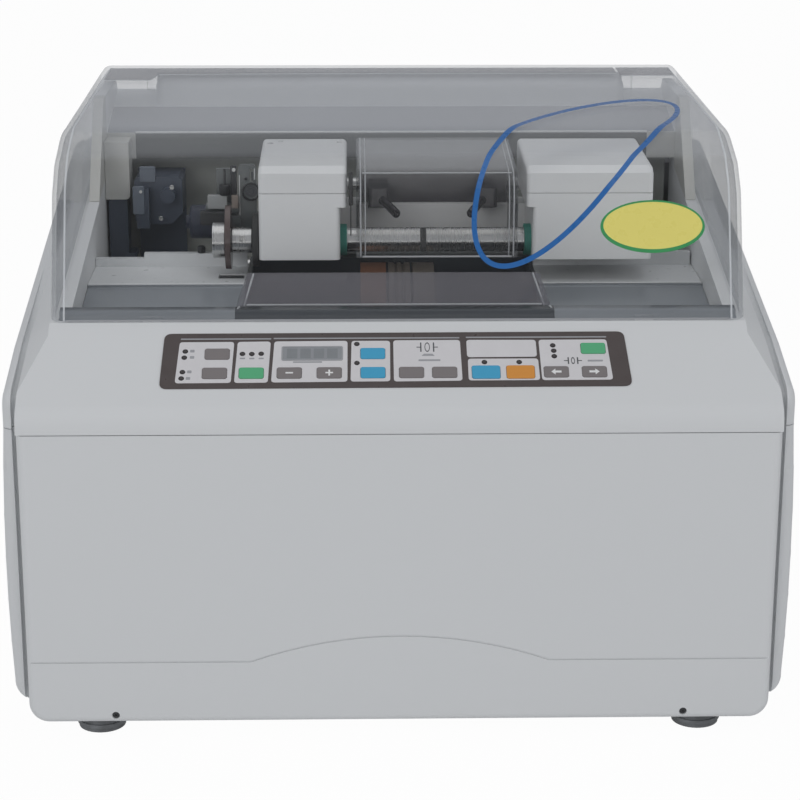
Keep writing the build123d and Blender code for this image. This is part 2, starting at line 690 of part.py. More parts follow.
def rear_cover():
    """Housing behind the well, with the hinge barrel and the corner post's cover."""
    outer = outline(
        (COVER_FRONT_Y, seat_z(COVER_FRONT_Y)),
        (COVER_FRONT_Y, COVER_FRONT_Z),
        (COVER_BACK_Y, COVER_BACK_Z),
        (COVER_BACK_Y, seat_z(COVER_BACK_Y)),
    )
    inner = outline(
        (COVER_FRONT_Y + WALL, COVER_LIP_Z + WALL),
        (COVER_FRONT_Y + WALL, COVER_FRONT_Z - WALL),
        (COVER_BACK_Y - WALL, COVER_BACK_Z - WALL * 1.2),
        (COVER_BACK_Y - WALL, 0),
        (OPENING_BACK_Y + WALL, 0),
        (OPENING_BACK_Y + WALL, COVER_LIP_Z + WALL),
    )
    cover = side_prism(outer, -RIM_OUTER_HALF, RIM_OUTER_HALF) + hinge_pod()
    fence = outline(
        (FENCE_FOOT_Y, seat_z(FENCE_FOOT_Y) + RIM_HEIGHT + FIT_GAP),
        (FENCE_TOP_Y, FENCE_TOP_Z),
        (HINGE_Y - WALL, FENCE_TOP_Z),
        (COVER_BACK_Y, COVER_BACK_Z),
        (COVER_FRONT_Y, COVER_FRONT_Z - WALL),
        (COVER_FRONT_Y, seat_z(COVER_FRONT_Y) + RIM_HEIGHT + FIT_GAP),
    )
    cover += side_prism(fence, -RIM_OUTER_HALF, -OPENING_HALF)
    cover += side_prism(fence, OPENING_HALF, RIM_OUTER_HALF)
    inside = RIM_OUTER_HALF - WALL
    cover -= side_prism(inner, -inside, inside)
    mouth = OPENING_HALF
    cover -= block(-mouth, mouth, COVER_FRONT_Y - 1, OPENING_BACK_Y, 0, COVER_LIP_Z)
    for side in (-1, 1):
        hole_end = side * (BARREL_HALF - HINGE_PIN_DEPTH - 1)
        hole_mouth = side * (BARREL_HALF + 1)
        low, high = sorted((hole_end, hole_mouth))
        cover -= rod_x(HINGE_PIN_RADIUS + RUN_GAP, low, high, HINGE_Y, HINGE_Z)
    return Compound(children=[cover, post_cover()])


def hinge_pod():
    """Long moulding along the rear housing that carries the hinge pins."""
    profile = outline(
        (POD_FRONT_Y, COVER_FRONT_Z),
        (POD_FRONT_Y, HINGE_Z + BARREL_RADIUS),
        (HINGE_Y, HINGE_Z + BARREL_RADIUS),
        (HINGE_Y, COVER_FRONT_Z),
    )
    profile = round_at(profile, (POD_FRONT_Y, HINGE_Z + BARREL_RADIUS), POD_ROUND)
    pod = side_prism(profile, -BARREL_HALF, BARREL_HALF)
    front_ends = pod.edges().filter_by(Axis.Z).sort_by(Axis.Y)[:2]
    pod = fillet(front_ends, POD_ROUND * 0.8)
    pod += rod_x(BARREL_RADIUS, -BARREL_HALF, BARREL_HALF, HINGE_Y, HINGE_Z)
    back = HINGE_Y + BARREL_RADIUS
    pod += block(-BARREL_HALF, BARREL_HALF, HINGE_Y - 1, back, COVER_BACK_Z - WALL, HINGE_Z)
    housing = outline(
        (POD_FRONT_Y - 1, HOOD_TOP_Z),
        (COVER_BACK_Y, HOOD_TOP_Z),
        (COVER_BACK_Y, COVER_BACK_Z - WALL),
        (COVER_FRONT_Y, COVER_FRONT_Z - WALL),
    )
    return pod & side_prism(housing, -BARREL_HALF, BARREL_HALF)


def post_cover():
    """Pale cap over the post in the left rear corner of the well."""
    left = -OPENING_HALF + FIT_GAP
    right = POST_LEFT_X + POST_WIDTH + COVER_WALL
    front = POST_FRONT_Y - COVER_WALL
    back = COVER_FRONT_Y - FIT_GAP
    cap = block(left, right, front, back, POST_TOP_Z, POST_COVER_TOP_Z)
    lower_edge = cap.edges().filter_by(Axis.Y).sort_by(Axis.X)[-2:].sort_by(Axis.Z)[0]
    cap = fillet(lower_edge, HEAD_EDGE)
    return cap


def rear_panel():
    """Sheet panel with louvres and the cut-out of the power inlet."""
    inset = WALL + FIT_GAP
    lower = front_prism(cheek_outline(inset), PANEL_BACK_Y - LINER, PANEL_BACK_Y)
    half = CHEEK_SEAM_HALF - inset
    high = cheek_top_z(DEPTH) - GROOVE_DEPTH - WALL * 2
    panel = lower + block(-half, half, PANEL_BACK_Y - LINER, PANEL_BACK_Y, SEAM_Z - 1, high)
    for row in range(LOUVRE_COUNT):
        z = LOUVRE_Z + row * LOUVRE_PITCH
        slot = SlotOverall(LOUVRE_LENGTH, LOUVRE_HEIGHT)
        cut = front_prism(Pos(LOUVRE_X, z) * slot, PANEL_BACK_Y - LINER - 1, PANEL_BACK_Y + 1)
        panel -= cut
    inlet = Pos(INLET_X, INLET_Z) * Rectangle(INLET_WIDTH, INLET_HEIGHT)
    panel -= front_prism(inlet, PANEL_BACK_Y - LINER - 1, PANEL_BACK_Y + 1)
    return panel


# ---- base, chassis and deck -------------------------------------------------
def base_plate():
    """Sheet pan that closes the casing from below, with turned-up sides."""
    back = PANEL_BACK_Y - LINER - FIT_GAP
    front = WALL + FIT_GAP
    half = BASE_HALF - FIT_GAP
    pan = block(-half, half, front, back, BASE_Z, BASE_Z + BASE_THICKNESS)
    for side in (-1, 1):
        outer = side * half
        inner = side * (half - BASE_THICKNESS)
        low, high = sorted((outer, inner))
        pan += block(low, high, CHEEK_SETBACK * 2, back, BASE_Z, BASE_Z + BASE_FLANGE)
    return pan


def feet():
    """Four ribbed rubber feet."""
    solids = []
    step = BASE_Z / 5
    for x in (-FOOT_X, FOOT_X):
        for y in (FOOT_FRONT_Y, FOOT_BACK_Y):
            foot = rod_z(FOOT_RADIUS - 1, 0, BASE_Z, x, y)
            for ring in (1, 3):
                foot += rod_z(FOOT_RADIUS, step * ring, step * (ring + 1), x, y)
            solids.append(foot)
    return Compound(children=solids)


def chassis():
    """Bed on two side frames, with rail blocks and the liner of the well."""
    low = BED_TOP_Z - BED_THICKNESS
    back = OPENING_BACK_Y
    bed = block(-BED_HALF, BED_HALF, BED_FRONT_Y, back, low, BED_TOP_Z)
    gap = FIT_GAP + CHAMBER_WALL
    bed -= block(
        CHAMBER_LEFT_X - gap, CHAMBER_RIGHT_X + gap, 0, CHAMBER_BACK_Y + gap, 0, SEAM_Z
    )
    bed += block(
        CHAMBER_LEFT_X - gap, CHAMBER_RIGHT_X + gap, BED_FRONT_Y - gap * 2,
        CHAMBER_FRONT_Y - gap, low, BED_TOP_Z
    )
    belt_half = MOTOR_PULLEY_RADIUS + BELT_THICKNESS + WALL
    bed -= block(
        PULLEY_X - PULLEY_WIDTH, PULLEY_X + PULLEY_WIDTH,
        LENS_Y - belt_half, LENS_Y + belt_half, low - 1, BED_TOP_Z + 1
    )
    floor = BASE_Z + BASE_THICKNESS
    for side in (-1, 1):
        x = side * SIDE_FRAME_X
        half = SIDE_FRAME_THICKNESS / 2
        frame = block(x - half, x + half, BED_FRONT_Y + gap, back - gap, floor, low)
        hole = Pos((BED_FRONT_Y + back) / 2, (floor + low) / 2)
        window = RectangleRounded(back - BED_FRONT_Y - 90, low - floor - 90, NOSE_RADIUS)
        frame -= side_prism(hole * window, x - WALL, x + WALL)
        bed += frame
        bed += rail_block(side)
    wall = block(-BED_HALF, BED_HALF, back - LINER, back, BED_TOP_Z, COVER_LIP_Z - FIT_GAP)
    return Compound(children=[bed, wall])


def rail_block(side):
    """Block on the bed that holds one end of both carriage rails."""
    low, high = sorted((side * RAIL_BLOCK_X, side * (RAIL_BLOCK_X + RAIL_BLOCK_WIDTH)))
    front = RAIL_FRONT_Y - RAIL_RADIUS * 1.6
    back = RAIL_BACK_Y + RAIL_RADIUS * 1.6
    holder = block(low, high, front, back, BED_TOP_Z, RAIL_Z + RAIL_RADIUS * 1.6)
    for y in (RAIL_FRONT_Y, RAIL_BACK_Y):
        holder -= rod_x(RAIL_RADIUS, low - 1, high + 1, y, RAIL_Z)
    return holder


def carriage_rails():
    """Two ground bars that the carriage slides on."""
    end = RAIL_BLOCK_X + RAIL_BLOCK_WIDTH
    bars = [rod_x(RAIL_RADIUS, -end, end, y, RAIL_Z) for y in (RAIL_FRONT_Y, RAIL_BACK_Y)]
    return Compound(children=bars)


def chamber_profile(inset):
    """Wet chamber seen from the side: low in front, up to the deck behind."""
    front = CHAMBER_FRONT_Y - CHAMBER_WALL + inset
    back = CHAMBER_BACK_Y + CHAMBER_WALL - inset
    low = CHAMBER_BOTTOM_Z - CHAMBER_WALL + inset
    lift = inset * 20
    return outline(
        (front, low),
        (front, tray_top_z(CHAMBER_FRONT_Y) + lift),
        (DECK_FRONT_Y, tray_top_z(DECK_FRONT_Y) + lift),
        (DECK_FRONT_Y, DECK_Z + lift),
        (back, DECK_Z + lift),
        (back, low),
    )


def tray_top_z(y):
    """Height of the tray's floor."""
    fall = (TRAY_BACK_Z - TRAY_FRONT_Z) / (DECK_FRONT_Y - OPENING_FRONT_Y)
    return TRAY_BACK_Z - fall * (DECK_FRONT_Y - y)


def chamber_tub():
    """Tub around the wheels, with the spindle's hole and a drain spout."""
    left = CHAMBER_LEFT_X - CHAMBER_WALL
    right = CHAMBER_RIGHT_X + CHAMBER_WALL
    tub = side_prism(chamber_profile(0), left, right)
    tub = fillet(tub.edges().filter_by(Axis.X).sort_by(Axis.Z)[0:2], NOSE_RADIUS)
    hollow = side_prism(chamber_profile(CHAMBER_WALL), CHAMBER_LEFT_X, CHAMBER_RIGHT_X)
    hollow = fillet(
        hollow.edges().filter_by(Axis.X).sort_by(Axis.Z)[0:2], NOSE_RADIUS - CHAMBER_WALL
    )
    tub -= hollow
    tub -= rod_x(SPINDLE_RADIUS + WALL / 2, left - 1, CHAMBER_LEFT_X + 1, LENS_Y, WHEEL_Z)
    low = CHAMBER_BOTTOM_Z - CHAMBER_WALL
    spout_x = CHAMBER_RIGHT_X - NOSE_RADIUS
    spout = rod_z(NOSE_RADIUS / 2, low - NOSE_RADIUS, low, spout_x, LENS_Y)
    drain = rod_z(NOSE_RADIUS / 2 - WALL, low - NOSE_RADIUS, low + CHAMBER_WALL, spout_x, LENS_Y)
    return tub + spout - drain


def drip_tray():
    """Sloping tray across the front of the opening, cut out around the chamber."""
    half = OPENING_HALF - FIT_GAP
    front = OPENING_FRONT_Y + FIT_GAP
    back = DECK_FRONT_Y - FIT_GAP
    section = outline(
        (front, tray_top_z(front) - TRAY_THICKNESS),
        (front, seat_z(front) - WALL),
        (front + TRAY_THICKNESS, seat_z(front) - WALL),
        (front + TRAY_THICKNESS, tray_top_z(front + TRAY_THICKNESS)),
        (back - TRAY_THICKNESS, tray_top_z(back)),
        (back - TRAY_THICKNESS, DECK_Z - FIT_GAP),
        (back, DECK_Z - FIT_GAP),
        (back, tray_top_z(back) - TRAY_THICKNESS),
    )
    section = round_at(section, (back - TRAY_THICKNESS, tray_top_z(back)), TRAY_THICKNESS / 3)
    tray = side_prism(section, -half, half)
    gap = FIT_GAP + CHAMBER_WALL
    mouth_front = CHAMBER_FRONT_Y - gap
    tray -= block(
        CHAMBER_LEFT_X - gap, CHAMBER_RIGHT_X + gap, mouth_front, DECK_FRONT_Y, 0, HOOD_TOP_Z
    )
    return tray


def deck_plates():
    """Light shelves left and right of the chamber, the left one slotted."""
    gap = FIT_GAP + CHAMBER_WALL
    low = DECK_Z - DECK_THICKNESS
    half = OPENING_HALF - FIT_GAP
    plates = []
    for x_low, x_high in ((-half, CHAMBER_LEFT_X - gap), (CHAMBER_RIGHT_X + gap, half)):
        plate = block(x_low, x_high, DECK_FRONT_Y, DECK_BACK_Y, low, DECK_Z)
        front_edge = plate.edges().filter_by(Axis.X).sort_by(Axis.Y)[:2].sort_by(Axis.Z)[-1]
        plate = fillet(front_edge, WALL / 2)
        rail = block(
            x_low + RAIL_INSET, x_high - 1, DECK_BACK_Y - DECK_RAIL_DEPTH, DECK_BACK_Y,
            DECK_Z, DECK_Z + DECK_RAIL_HEIGHT
        )
        rail += block(
            x_low, x_low + RAIL_INSET, DECK_BACK_Y - DECK_RAIL_DEPTH, DECK_BACK_Y,
            DECK_Z, DECK_Z + DECK_LEDGE_HEIGHT
        )
        leg = block(x_low, x_high, DECK_BACK_Y - WALL, DECK_BACK_Y, BED_TOP_Z, low)
        plates.append(plate + rail + leg)
    slot = block(
        REST_LEFT_X - SLOT_GAP, REST_LEFT_X + REST_WIDTH + SLOT_GAP,
        REST_FRONT_Y - SLOT_GAP, REST_FRONT_Y + REST_LENGTH + SLOT_GAP, low - 1, DECK_Z + 1
    )
    plates[0] -= slot
    return Compound(children=plates)


def splash_window():
    """Clear guard over the front of the chamber: lip, face, sloping top and sides."""
    front_low = (OPENING_FRONT_Y + TRAY_THICKNESS + WINDOW_LIP, tray_top_z(CHAMBER_FRONT_Y))
    fold = (WINDOW_FOLD_Y, WINDOW_FOLD_Z)
    top = (WINDOW_TOP_Y, WINDOW_TOP_Z)
    outer = outline(
        front_low, fold, top, (WINDOW_TOP_Y, tray_top_z(WINDOW_TOP_Y) + FIT_GAP),
        (front_low[0], tray_top_z(front_low[0]) + FIT_GAP)
    )
    left = CHAMBER_LEFT_X - WINDOW_OVERLAP
    right = CHAMBER_RIGHT_X + WINDOW_OVERLAP
    body = side_prism(outer, left, right) & window_taper(0)
    flat = WINDOW_WALL
    inner = outline(
        (front_low[0] + flat, 0),
        (front_low[0] + flat, front_low[1]),
        (fold[0] + flat * 0.6, fold[1] - flat),
        (top[0] + 1, top[1] - flat * 0.75),
        (top[0] + 1, 0),
    )
    body -= side_prism(inner, left, right) & window_taper(flat)
    return body


def window_taper(inset):
    """Block whose sides lean in like those of the splash window."""
    left = CHAMBER_LEFT_X - WINDOW_OVERLAP + inset
    right = CHAMBER_RIGHT_X + WINDOW_OVERLAP - inset
    lean = WINDOW_DRAFT * (WINDOW_TOP_Z + WALL - TRAY_BACK_Z)
    rest = WINDOW_DRAFT * (TRAY_BACK_Z - TRAY_FRONT_Z)
    face = outline(
        (left - rest, TRAY_FRONT_Z),
        (left + lean, WINDOW_TOP_Z + WALL),
        (right - lean, WINDOW_TOP_Z + WALL),
        (right + rest, TRAY_FRONT_Z),
    )
    return front_prism(face, 0, WINDOW_TOP_Y + WALL)


# ---- wheels and their drive --------------------------------------------------
def wheel_spindle():
    """Spindle with its belt pulley and the wheels' end nut."""
    left = PULLEY_X - PULLEY_WIDTH / 2
    right = finishing_right_x() + WHEEL_SPACER * 5
    spindle = rod_x(SPINDLE_RADIUS, left, right, LENS_Y, WHEEL_Z)
    spindle += pulley(SPINDLE_PULLEY_RADIUS, PULLEY_X, WHEEL_Z)
    nut = extrude(
        Plane.YZ.offset(finishing_right_x()) * Pos(LENS_Y, WHEEL_Z) * RegularPolygon(
            SPINDLE_RADIUS * 1.8, 6
        ),
        amount=WHEEL_SPACER * 4,
    )
    collar = rod_x(
        SPINDLE_RADIUS * 1.6, ROUGH_WHEEL_LEFT_X - WHEEL_SPACER * 3, ROUGH_WHEEL_LEFT_X,
        LENS_Y, WHEEL_Z
    )
    return spindle + nut + collar


def pulley(radius, x, z):
    """Flanged belt pulley."""
    half = PULLEY_WIDTH / 2
    flange = WHEEL_SPACER
    wheel = rod_x(radius, x - half, x + half, LENS_Y, z)
    for low in (x - half, x + half - flange):
        wheel += rod_x(radius + BELT_THICKNESS + 1, low, low + flange, LENS_Y, z)
    return wheel


def finishing_right_x():
    """Right-hand face of the last wheel."""
    return ROUGH_WHEEL_LEFT_X + ROUGH_WHEEL_WIDTH + 2 * (WHEEL_SPACER + FINE_WHEEL_WIDTH)


def grinding_wheel(x, width, grooves):
    """Wheel with bevel grooves turned into its rim."""
    rim = [(0, 0), (WHEEL_RADIUS, 0)]
    pitch = width / (grooves + 1)
    for number in range(grooves):
        middle = pitch * (number + 1)
        rim += [
            (WHEEL_RADIUS, middle - BEVEL_DEPTH),
            (WHEEL_RADIUS - BEVEL_DEPTH, middle),
            (WHEEL_RADIUS, middle + BEVEL_DEPTH),
        ]
    rim += [(WHEEL_RADIUS, width), (0, width)]
    solid = revolve(Plane.XZ * outline(*rim), Axis.Z)
    solid -= Pos(0, 0, width / 2) * Cylinder(SPINDLE_RADIUS, width + 2)
    return Pos(x, LENS_Y, WHEEL_Z) * Rot(0, 90, 0) * solid


def roughing_wheel():
    """Wide plain wheel that takes the lens to size."""
    return grinding_wheel(ROUGH_WHEEL_LEFT_X, ROUGH_WHEEL_WIDTH, 0)


def finishing_wheels():
    """Bevel wheel and flat polishing wheel."""
    first = ROUGH_WHEEL_LEFT_X + ROUGH_WHEEL_WIDTH + WHEEL_SPACER
    second = first + FINE_WHEEL_WIDTH + WHEEL_SPACER
    bevel = grinding_wheel(first, FINE_WHEEL_WIDTH, 2)
    flat = grinding_wheel(second, FINE_WHEEL_WIDTH, 0)
    ring = rod_x(SPINDLE_RADIUS * 1.6, first - WHEEL_SPACER, first, LENS_Y, WHEEL_Z)
    gap_ring = rod_x(
        SPINDLE_RADIUS * 1.6, second - WHEEL_SPACER, second, LENS_Y, WHEEL_Z
    )
    bore = rod_x(SPINDLE_RADIUS, first - WHEEL_SPACER - 1, second + 1, LENS_Y, WHEEL_Z)
    return Compound(children=[bevel, flat, ring - bore, gap_ring - bore])


def spindle_housing():
    """Bearing block beside the chamber, also the guide of the pattern rest."""
    left = PULLEY_X + PULLEY_WIDTH / 2 + WHEEL_SPACER
    right = CHAMBER_LEFT_X - CHAMBER_WALL - FIT_GAP
    top = WHEEL_Z + HOUSING_HALF
    housing = block(
        left, right, LENS_Y - HOUSING_HALF, REST_STEM_Y + HOUSING_HALF / 2, BED_TOP_Z, top
    )
    long_edges = housing.edges().filter_by(Axis.X).sort_by(Axis.Z)[-2:]
    housing = fillet(long_edges, NOSE_RADIUS / 3)
    housing -= rod_x(SPINDLE_RADIUS + RUN_GAP, left - 1, right + 1, LENS_Y, WHEEL_Z)
    x = REST_LEFT_X + REST_WIDTH / 2
    depth = REST_TRAVEL + REST_STEM_LENGTH
    housing -= rod_z(REST_STEM_RADIUS + RUN_GAP, top - depth, top + 1, x, REST_STEM_Y)
    return housing


def former_rest():
    """Shoe in the deck's slot that stops the pattern, on a guided stem."""
    x_low = REST_LEFT_X
    x_high = REST_LEFT_X + REST_WIDTH
    shoe_low = DECK_Z - DECK_THICKNESS - REST_SHOE_DEPTH
    shoe = block(
        x_low, x_high, REST_FRONT_Y, REST_FRONT_Y + REST_LENGTH, shoe_low, DECK_Z - RUN_GAP * 10
    )
    foot = block(
        x_low, x_high, REST_FRONT_Y, REST_STEM_Y + REST_STEM_RADIUS + 2,
        shoe_low, DECK_Z - DECK_THICKNESS - FIT_GAP
    )
    stem_low = WHEEL_Z + HOUSING_HALF - REST_STEM_LENGTH + 1
    stem = rod_z(REST_STEM_RADIUS, stem_low, shoe_low, (x_low + x_high) / 2, REST_STEM_Y)
    return shoe + foot + stem


def wheel_motor():
    """Motor under the chamber, on a foot that stands on the base plate."""
    left = PULLEY_X + PULLEY_WIDTH / 2 + WHEEL_SPACER * 4
    right = left + MOTOR_LENGTH
    body = rod_x(MOTOR_RADIUS, left, right, LENS_Y, MOTOR_Z)
    body = chamfer(body.edges().filter_by(GeomType.CIRCLE), WALL * 2)
    floor = BASE_Z + BASE_THICKNESS
    half = MOTOR_RADIUS * 0.8
    foot = block(
        left + NOSE_RADIUS, right - NOSE_RADIUS, LENS_Y - half, LENS_Y + half,
        floor, MOTOR_Z - half
    )
    cross = block(
        left + NOSE_RADIUS * 2, right - NOSE_RADIUS * 2, LENS_Y - half + WALL * 3,
        LENS_Y + half - WALL * 3, floor, MOTOR_Z
    )
    bore = rod_x(SPINDLE_RADIUS + RUN_GAP, left - 1, left + NOSE_RADIUS, LENS_Y, MOTOR_Z)
    return body + foot + cross - bore


def motor_pulley():
    """Rotor shaft end with the drive pulley."""
    left = PULLEY_X - PULLEY_WIDTH / 2
    right = PULLEY_X + PULLEY_WIDTH / 2 + WHEEL_SPACER * 4 + NOSE_RADIUS - 1
    shaft = rod_x(SPINDLE_RADIUS, left, right, LENS_Y, MOTOR_Z)
    return shaft + pulley(MOTOR_PULLEY_RADIUS, PULLEY_X, MOTOR_Z)


def belt_loop(low, high, radius_low, radius_high):
    """Area inside an open belt around two pulleys, drawn in Y and Z."""
    run_y = high[0] - low[0]
    run_z = high[1] - low[1]
    distance = hypot(run_y, run_z)
    along = atan2(run_z, run_y)
    lean = acos((radius_low - radius_high) / distance)
    corners = []
    for centre, radius, sides in ((low, radius_low, (-1, 1)), (high, radius_high, (1, -1))):
        for side in sides:
            angle = along + side * lean
            corners.append((centre[0] + radius * cos(angle), centre[1] + radius * sin(angle)))
    loop = outline(*corners)
    loop += Pos(*low) * Circle(radius_low)
    loop += Pos(*high) * Circle(radius_high)
    return loop


def belt(low, high, radius_low, radius_high, thickness, x_low, x_high):
    """Belt of even thickness that clears its pulleys by the fit gap."""
    inner = belt_loop(low, high, radius_low + FIT_GAP, radius_high + FIT_GAP)
    grown = FIT_GAP + thickness
    outer = belt_loop(low, high, radius_low + grown, radius_high + grown)
    return side_prism(outer - inner, x_low, x_high)


def wheel_belt():
    """Belt from the motor up to the spindle."""
    half = PULLEY_WIDTH / 2 - WHEEL_SPACER - FIT_GAP
    return belt(
        (LENS_Y, MOTOR_Z), (LENS_Y, WHEEL_Z), MOTOR_PULLEY_RADIUS, SPINDLE_PULLEY_RADIUS,
        BELT_THICKNESS, PULLEY_X - half, PULLEY_X + half
    )


def control_board():
    """Board on four pillars with its transformer, cooler and capacitors."""
    floor = BASE_Z + BASE_THICKNESS
    top = floor + BOARD_RISE
    solid = block(BOARD_X, BOARD_X + BOARD_LENGTH, BOARD_Y, BOARD_Y + BOARD_DEPTH, top, top + 2)
    inset = WALL * 2
    for x in (BOARD_X + inset, BOARD_X + BOARD_LENGTH - inset):
        for y in (BOARD_Y + inset, BOARD_Y + BOARD_DEPTH - inset):
            solid += rod_z(WALL, floor, top, x, y)
    x = BOARD_X + inset * 2
    y = BOARD_Y + inset * 3
    solid += block(x, x + 48, y, y + 40, top + 2, top + 40)
    for fin in range(6):
        fin_x = x + 64 + fin * 6
        solid += block(fin_x, fin_x + 2, y, y + 44, top + 2, top + 26)
    for can in range(3):
        solid += rod_z(WALL * 2, top + 2, top + 24, x + 12 + can * 18, y + 60)
    return solid


# ---- carriage ---------------------------------------------------------------
def carriage():
    """Sliding block on the rails, its two ears and the pivot shaft they hold."""
    left, right = CARRIAGE_LEFT_X, CARRIAGE_RIGHT_X
    body = block(
        left, right, CARRIAGE_FRONT_Y, CARRIAGE_BACK_Y, CARRIAGE_BOTTOM_Z, CARRIAGE_TOP_Z
    )
    pocket = Pos((left + right) / 2, (RAIL_FRONT_Y + RAIL_BACK_Y) / 2)
    pocket_length = right - left - EAR_THICKNESS * 4
    pocket_depth = RAIL_BACK_Y - RAIL_FRONT_Y - RAIL_RADIUS * 4
    window = pocket * RectangleRounded(pocket_length, pocket_depth, WALL)
    body -= plan_prism(window, CARRIAGE_BOTTOM_Z - 1, CARRIAGE_TOP_Z + 1)
    for y in (RAIL_FRONT_Y, RAIL_BACK_Y):
        body -= rod_x(RAIL_RADIUS + RUN_GAP, left - 1, right + 1, y, RAIL_Z)
    for low in (left, right - EAR_THICKNESS):
        body += ear(low)
    shaft = rod_x(PIVOT_RADIUS, left, right, PIVOT_Y, PIVOT_Z)
    return Compound(children=[body - shaft, shaft])


def ear(x_low):
    """Upright ear with a round top around the pivot shaft."""
    half = PIVOT_RADIUS + WALL * 2
    plate = Pos(PIVOT_Y, (PIVOT_Z + CARRIAGE_TOP_Z) / 2) * Rectangle(
        half * 2, PIVOT_Z - CARRIAGE_TOP_Z + 1
    )
    plate += Pos(PIVOT_Y, PIVOT_Z) * Circle(half)
    return side_prism(plate, x_low, x_low + EAR_THICKNESS)


# ---- grinding head ----------------------------------------------------------
def arm_plate(x_low):
    """Plate of an arm, with the bores of the lens shaft and the layshaft."""
    plate = outline(
        (ARM_FRONT_Y, HEAD_BOTTOM_Z + COVER_WALL),
        (ARM_FRONT_Y, ARM_TOP_Z),
        (HEAD_BACK_Y, ARM_TOP_Z),
        (HEAD_BACK_Y, HEAD_BOTTOM_Z + COVER_WALL),
    )
    for corner in ((ARM_FRONT_Y, ARM_TOP_Z), (HEAD_BACK_Y, ARM_TOP_Z)):
        plate = round_at(plate, corner, WALL * 2)
    plate -= Pos(LENS_Y, LENS_Z) * Circle(JOURNAL_RADIUS + RUN_GAP)
    plate -= Pos(SYNC_Y, SYNC_Z) * Circle(SYNC_RADIUS + RUN_GAP)
    return side_prism(plate, x_low, x_low + ARM_PLATE)


def head_frame():
    """Beam on the pivot, the arms' plates and the guide rod of the clamp yoke."""
    left = LEFT_COVER[0] + COVER_WALL + FIT_GAP
    right = RIGHT_COVER[1] - COVER_WALL - FIT_GAP
    boss_left = CARRIAGE_LEFT_X + EAR_THICKNESS + EAR_GAP
    boss_right = CARRIAGE_RIGHT_X - EAR_THICKNESS - EAR_GAP
    low = HEAD_BOTTOM_Z + COVER_WALL
    frame = block(left, right, BEAM_FRONT_Y, HEAD_BACK_Y, low, BEAM_TOP_Z)
    frame += block(boss_left, boss_right, BEAM_FRONT_Y, BEAM_BACK_Y, low, PIVOT_Z + PIVOT_BOSS_RADIUS)
    frame += rod_x(PIVOT_BOSS_RADIUS, boss_left, boss_right, PIVOT_Y, PIVOT_Z)
    left_inner = LEFT_COVER[1] - COVER_STEP - COVER_WALL - FIT_GAP - ARM_PLATE
    for x in (left, left_inner, *RIGHT_ARM_X):
        frame += arm_plate(x)
    frame -= rod_x(PIVOT_RADIUS + RUN_GAP, boss_left - 1, boss_right + 1, PIVOT_Y, PIVOT_Z)
    guide_left = RIGHT_ARM_X[0] + ARM_PLATE
    guide = rod_x(
        YOKE_GUIDE_RADIUS, guide_left, RIGHT_ARM_X[1], YOKE_GUIDE_Y, YOKE_GUIDE_Z
    )
    frame += guide
    for end in (LEFT_PULLEY_X, RIGHT_PULLEY_X):
        clear = LENS_PULLEY_RADIUS + FIT_GAP * 2 + LENS_BELT_THICKNESS
        slot = belt_loop((LENS_Y, LENS_Z), (SYNC_Y, SYNC_Z), clear, clear)
        frame -= side_prism(slot, end - 1, end + LENS_PULLEY_WIDTH + 1)
    return frame


def cap_profile(inset, low):
    """Top of an arm cover from the side: front crease, then a nearly flat roof."""
    crease_run = (HEAD_TOP_Z - HEAD_CREASE_Z) * 1.2
    return outline(
        (HEAD_FRONT_Y + inset, low),
        (HEAD_FRONT_Y + inset, HEAD_CREASE_Z - inset),
        (HEAD_FRONT_Y + crease_run + inset, HEAD_TOP_Z - inset - 2),
        (HEAD_BACK_Y, HEAD_TOP_Z - inset),
        (HEAD_BACK_Y, low),
    )


def arm_cap(span):
    """Upper shell of an arm cover."""
    low = HEAD_SEAM_Z + FIT_GAP / 2
    cap = side_prism(cap_profile(0, low), *span)
    rounded = [e for e in cap.edges().filter_by_position(Axis.Z, low + 1, HOOD_TOP_Z)
               if e.center().Y < HEAD_BACK_Y - 1]
    side_edges = [e for e in rounded if min(abs(e.center().X - x) for x in span) < 0.1]
    cap = fillet(side_edges, HEAD_EDGE)
    inside = (span[0] + COVER_WALL, span[1] - COVER_WALL)
    cap -= side_prism(cap_profile(COVER_WALL, low - 1), *inside)
    cap -= block(*inside, HEAD_BACK_Y - COVER_WALL * 2, HEAD_BACK_Y + 1, low - 1, ARM_TOP_Z + WALL)
    return cap


def cover_face(span, inset, low, high):
    """Arm cover from the front, its side by the lens stepped back in its lower part."""
    outer, inner = span if span == LEFT_COVER else span[::-1]
    way = COVER_STEP if outer > inner else -COVER_STEP
    edge = inset if outer > inner else -inset
    return outline(
        (outer - edge, low),
        (outer - edge, high),
        (inner + edge, high),
        (inner + edge, COVER_STEP_Z + inset),
        (inner + edge + way, COVER_STEP_Z + inset),
        (inner + edge + way, low),
    )


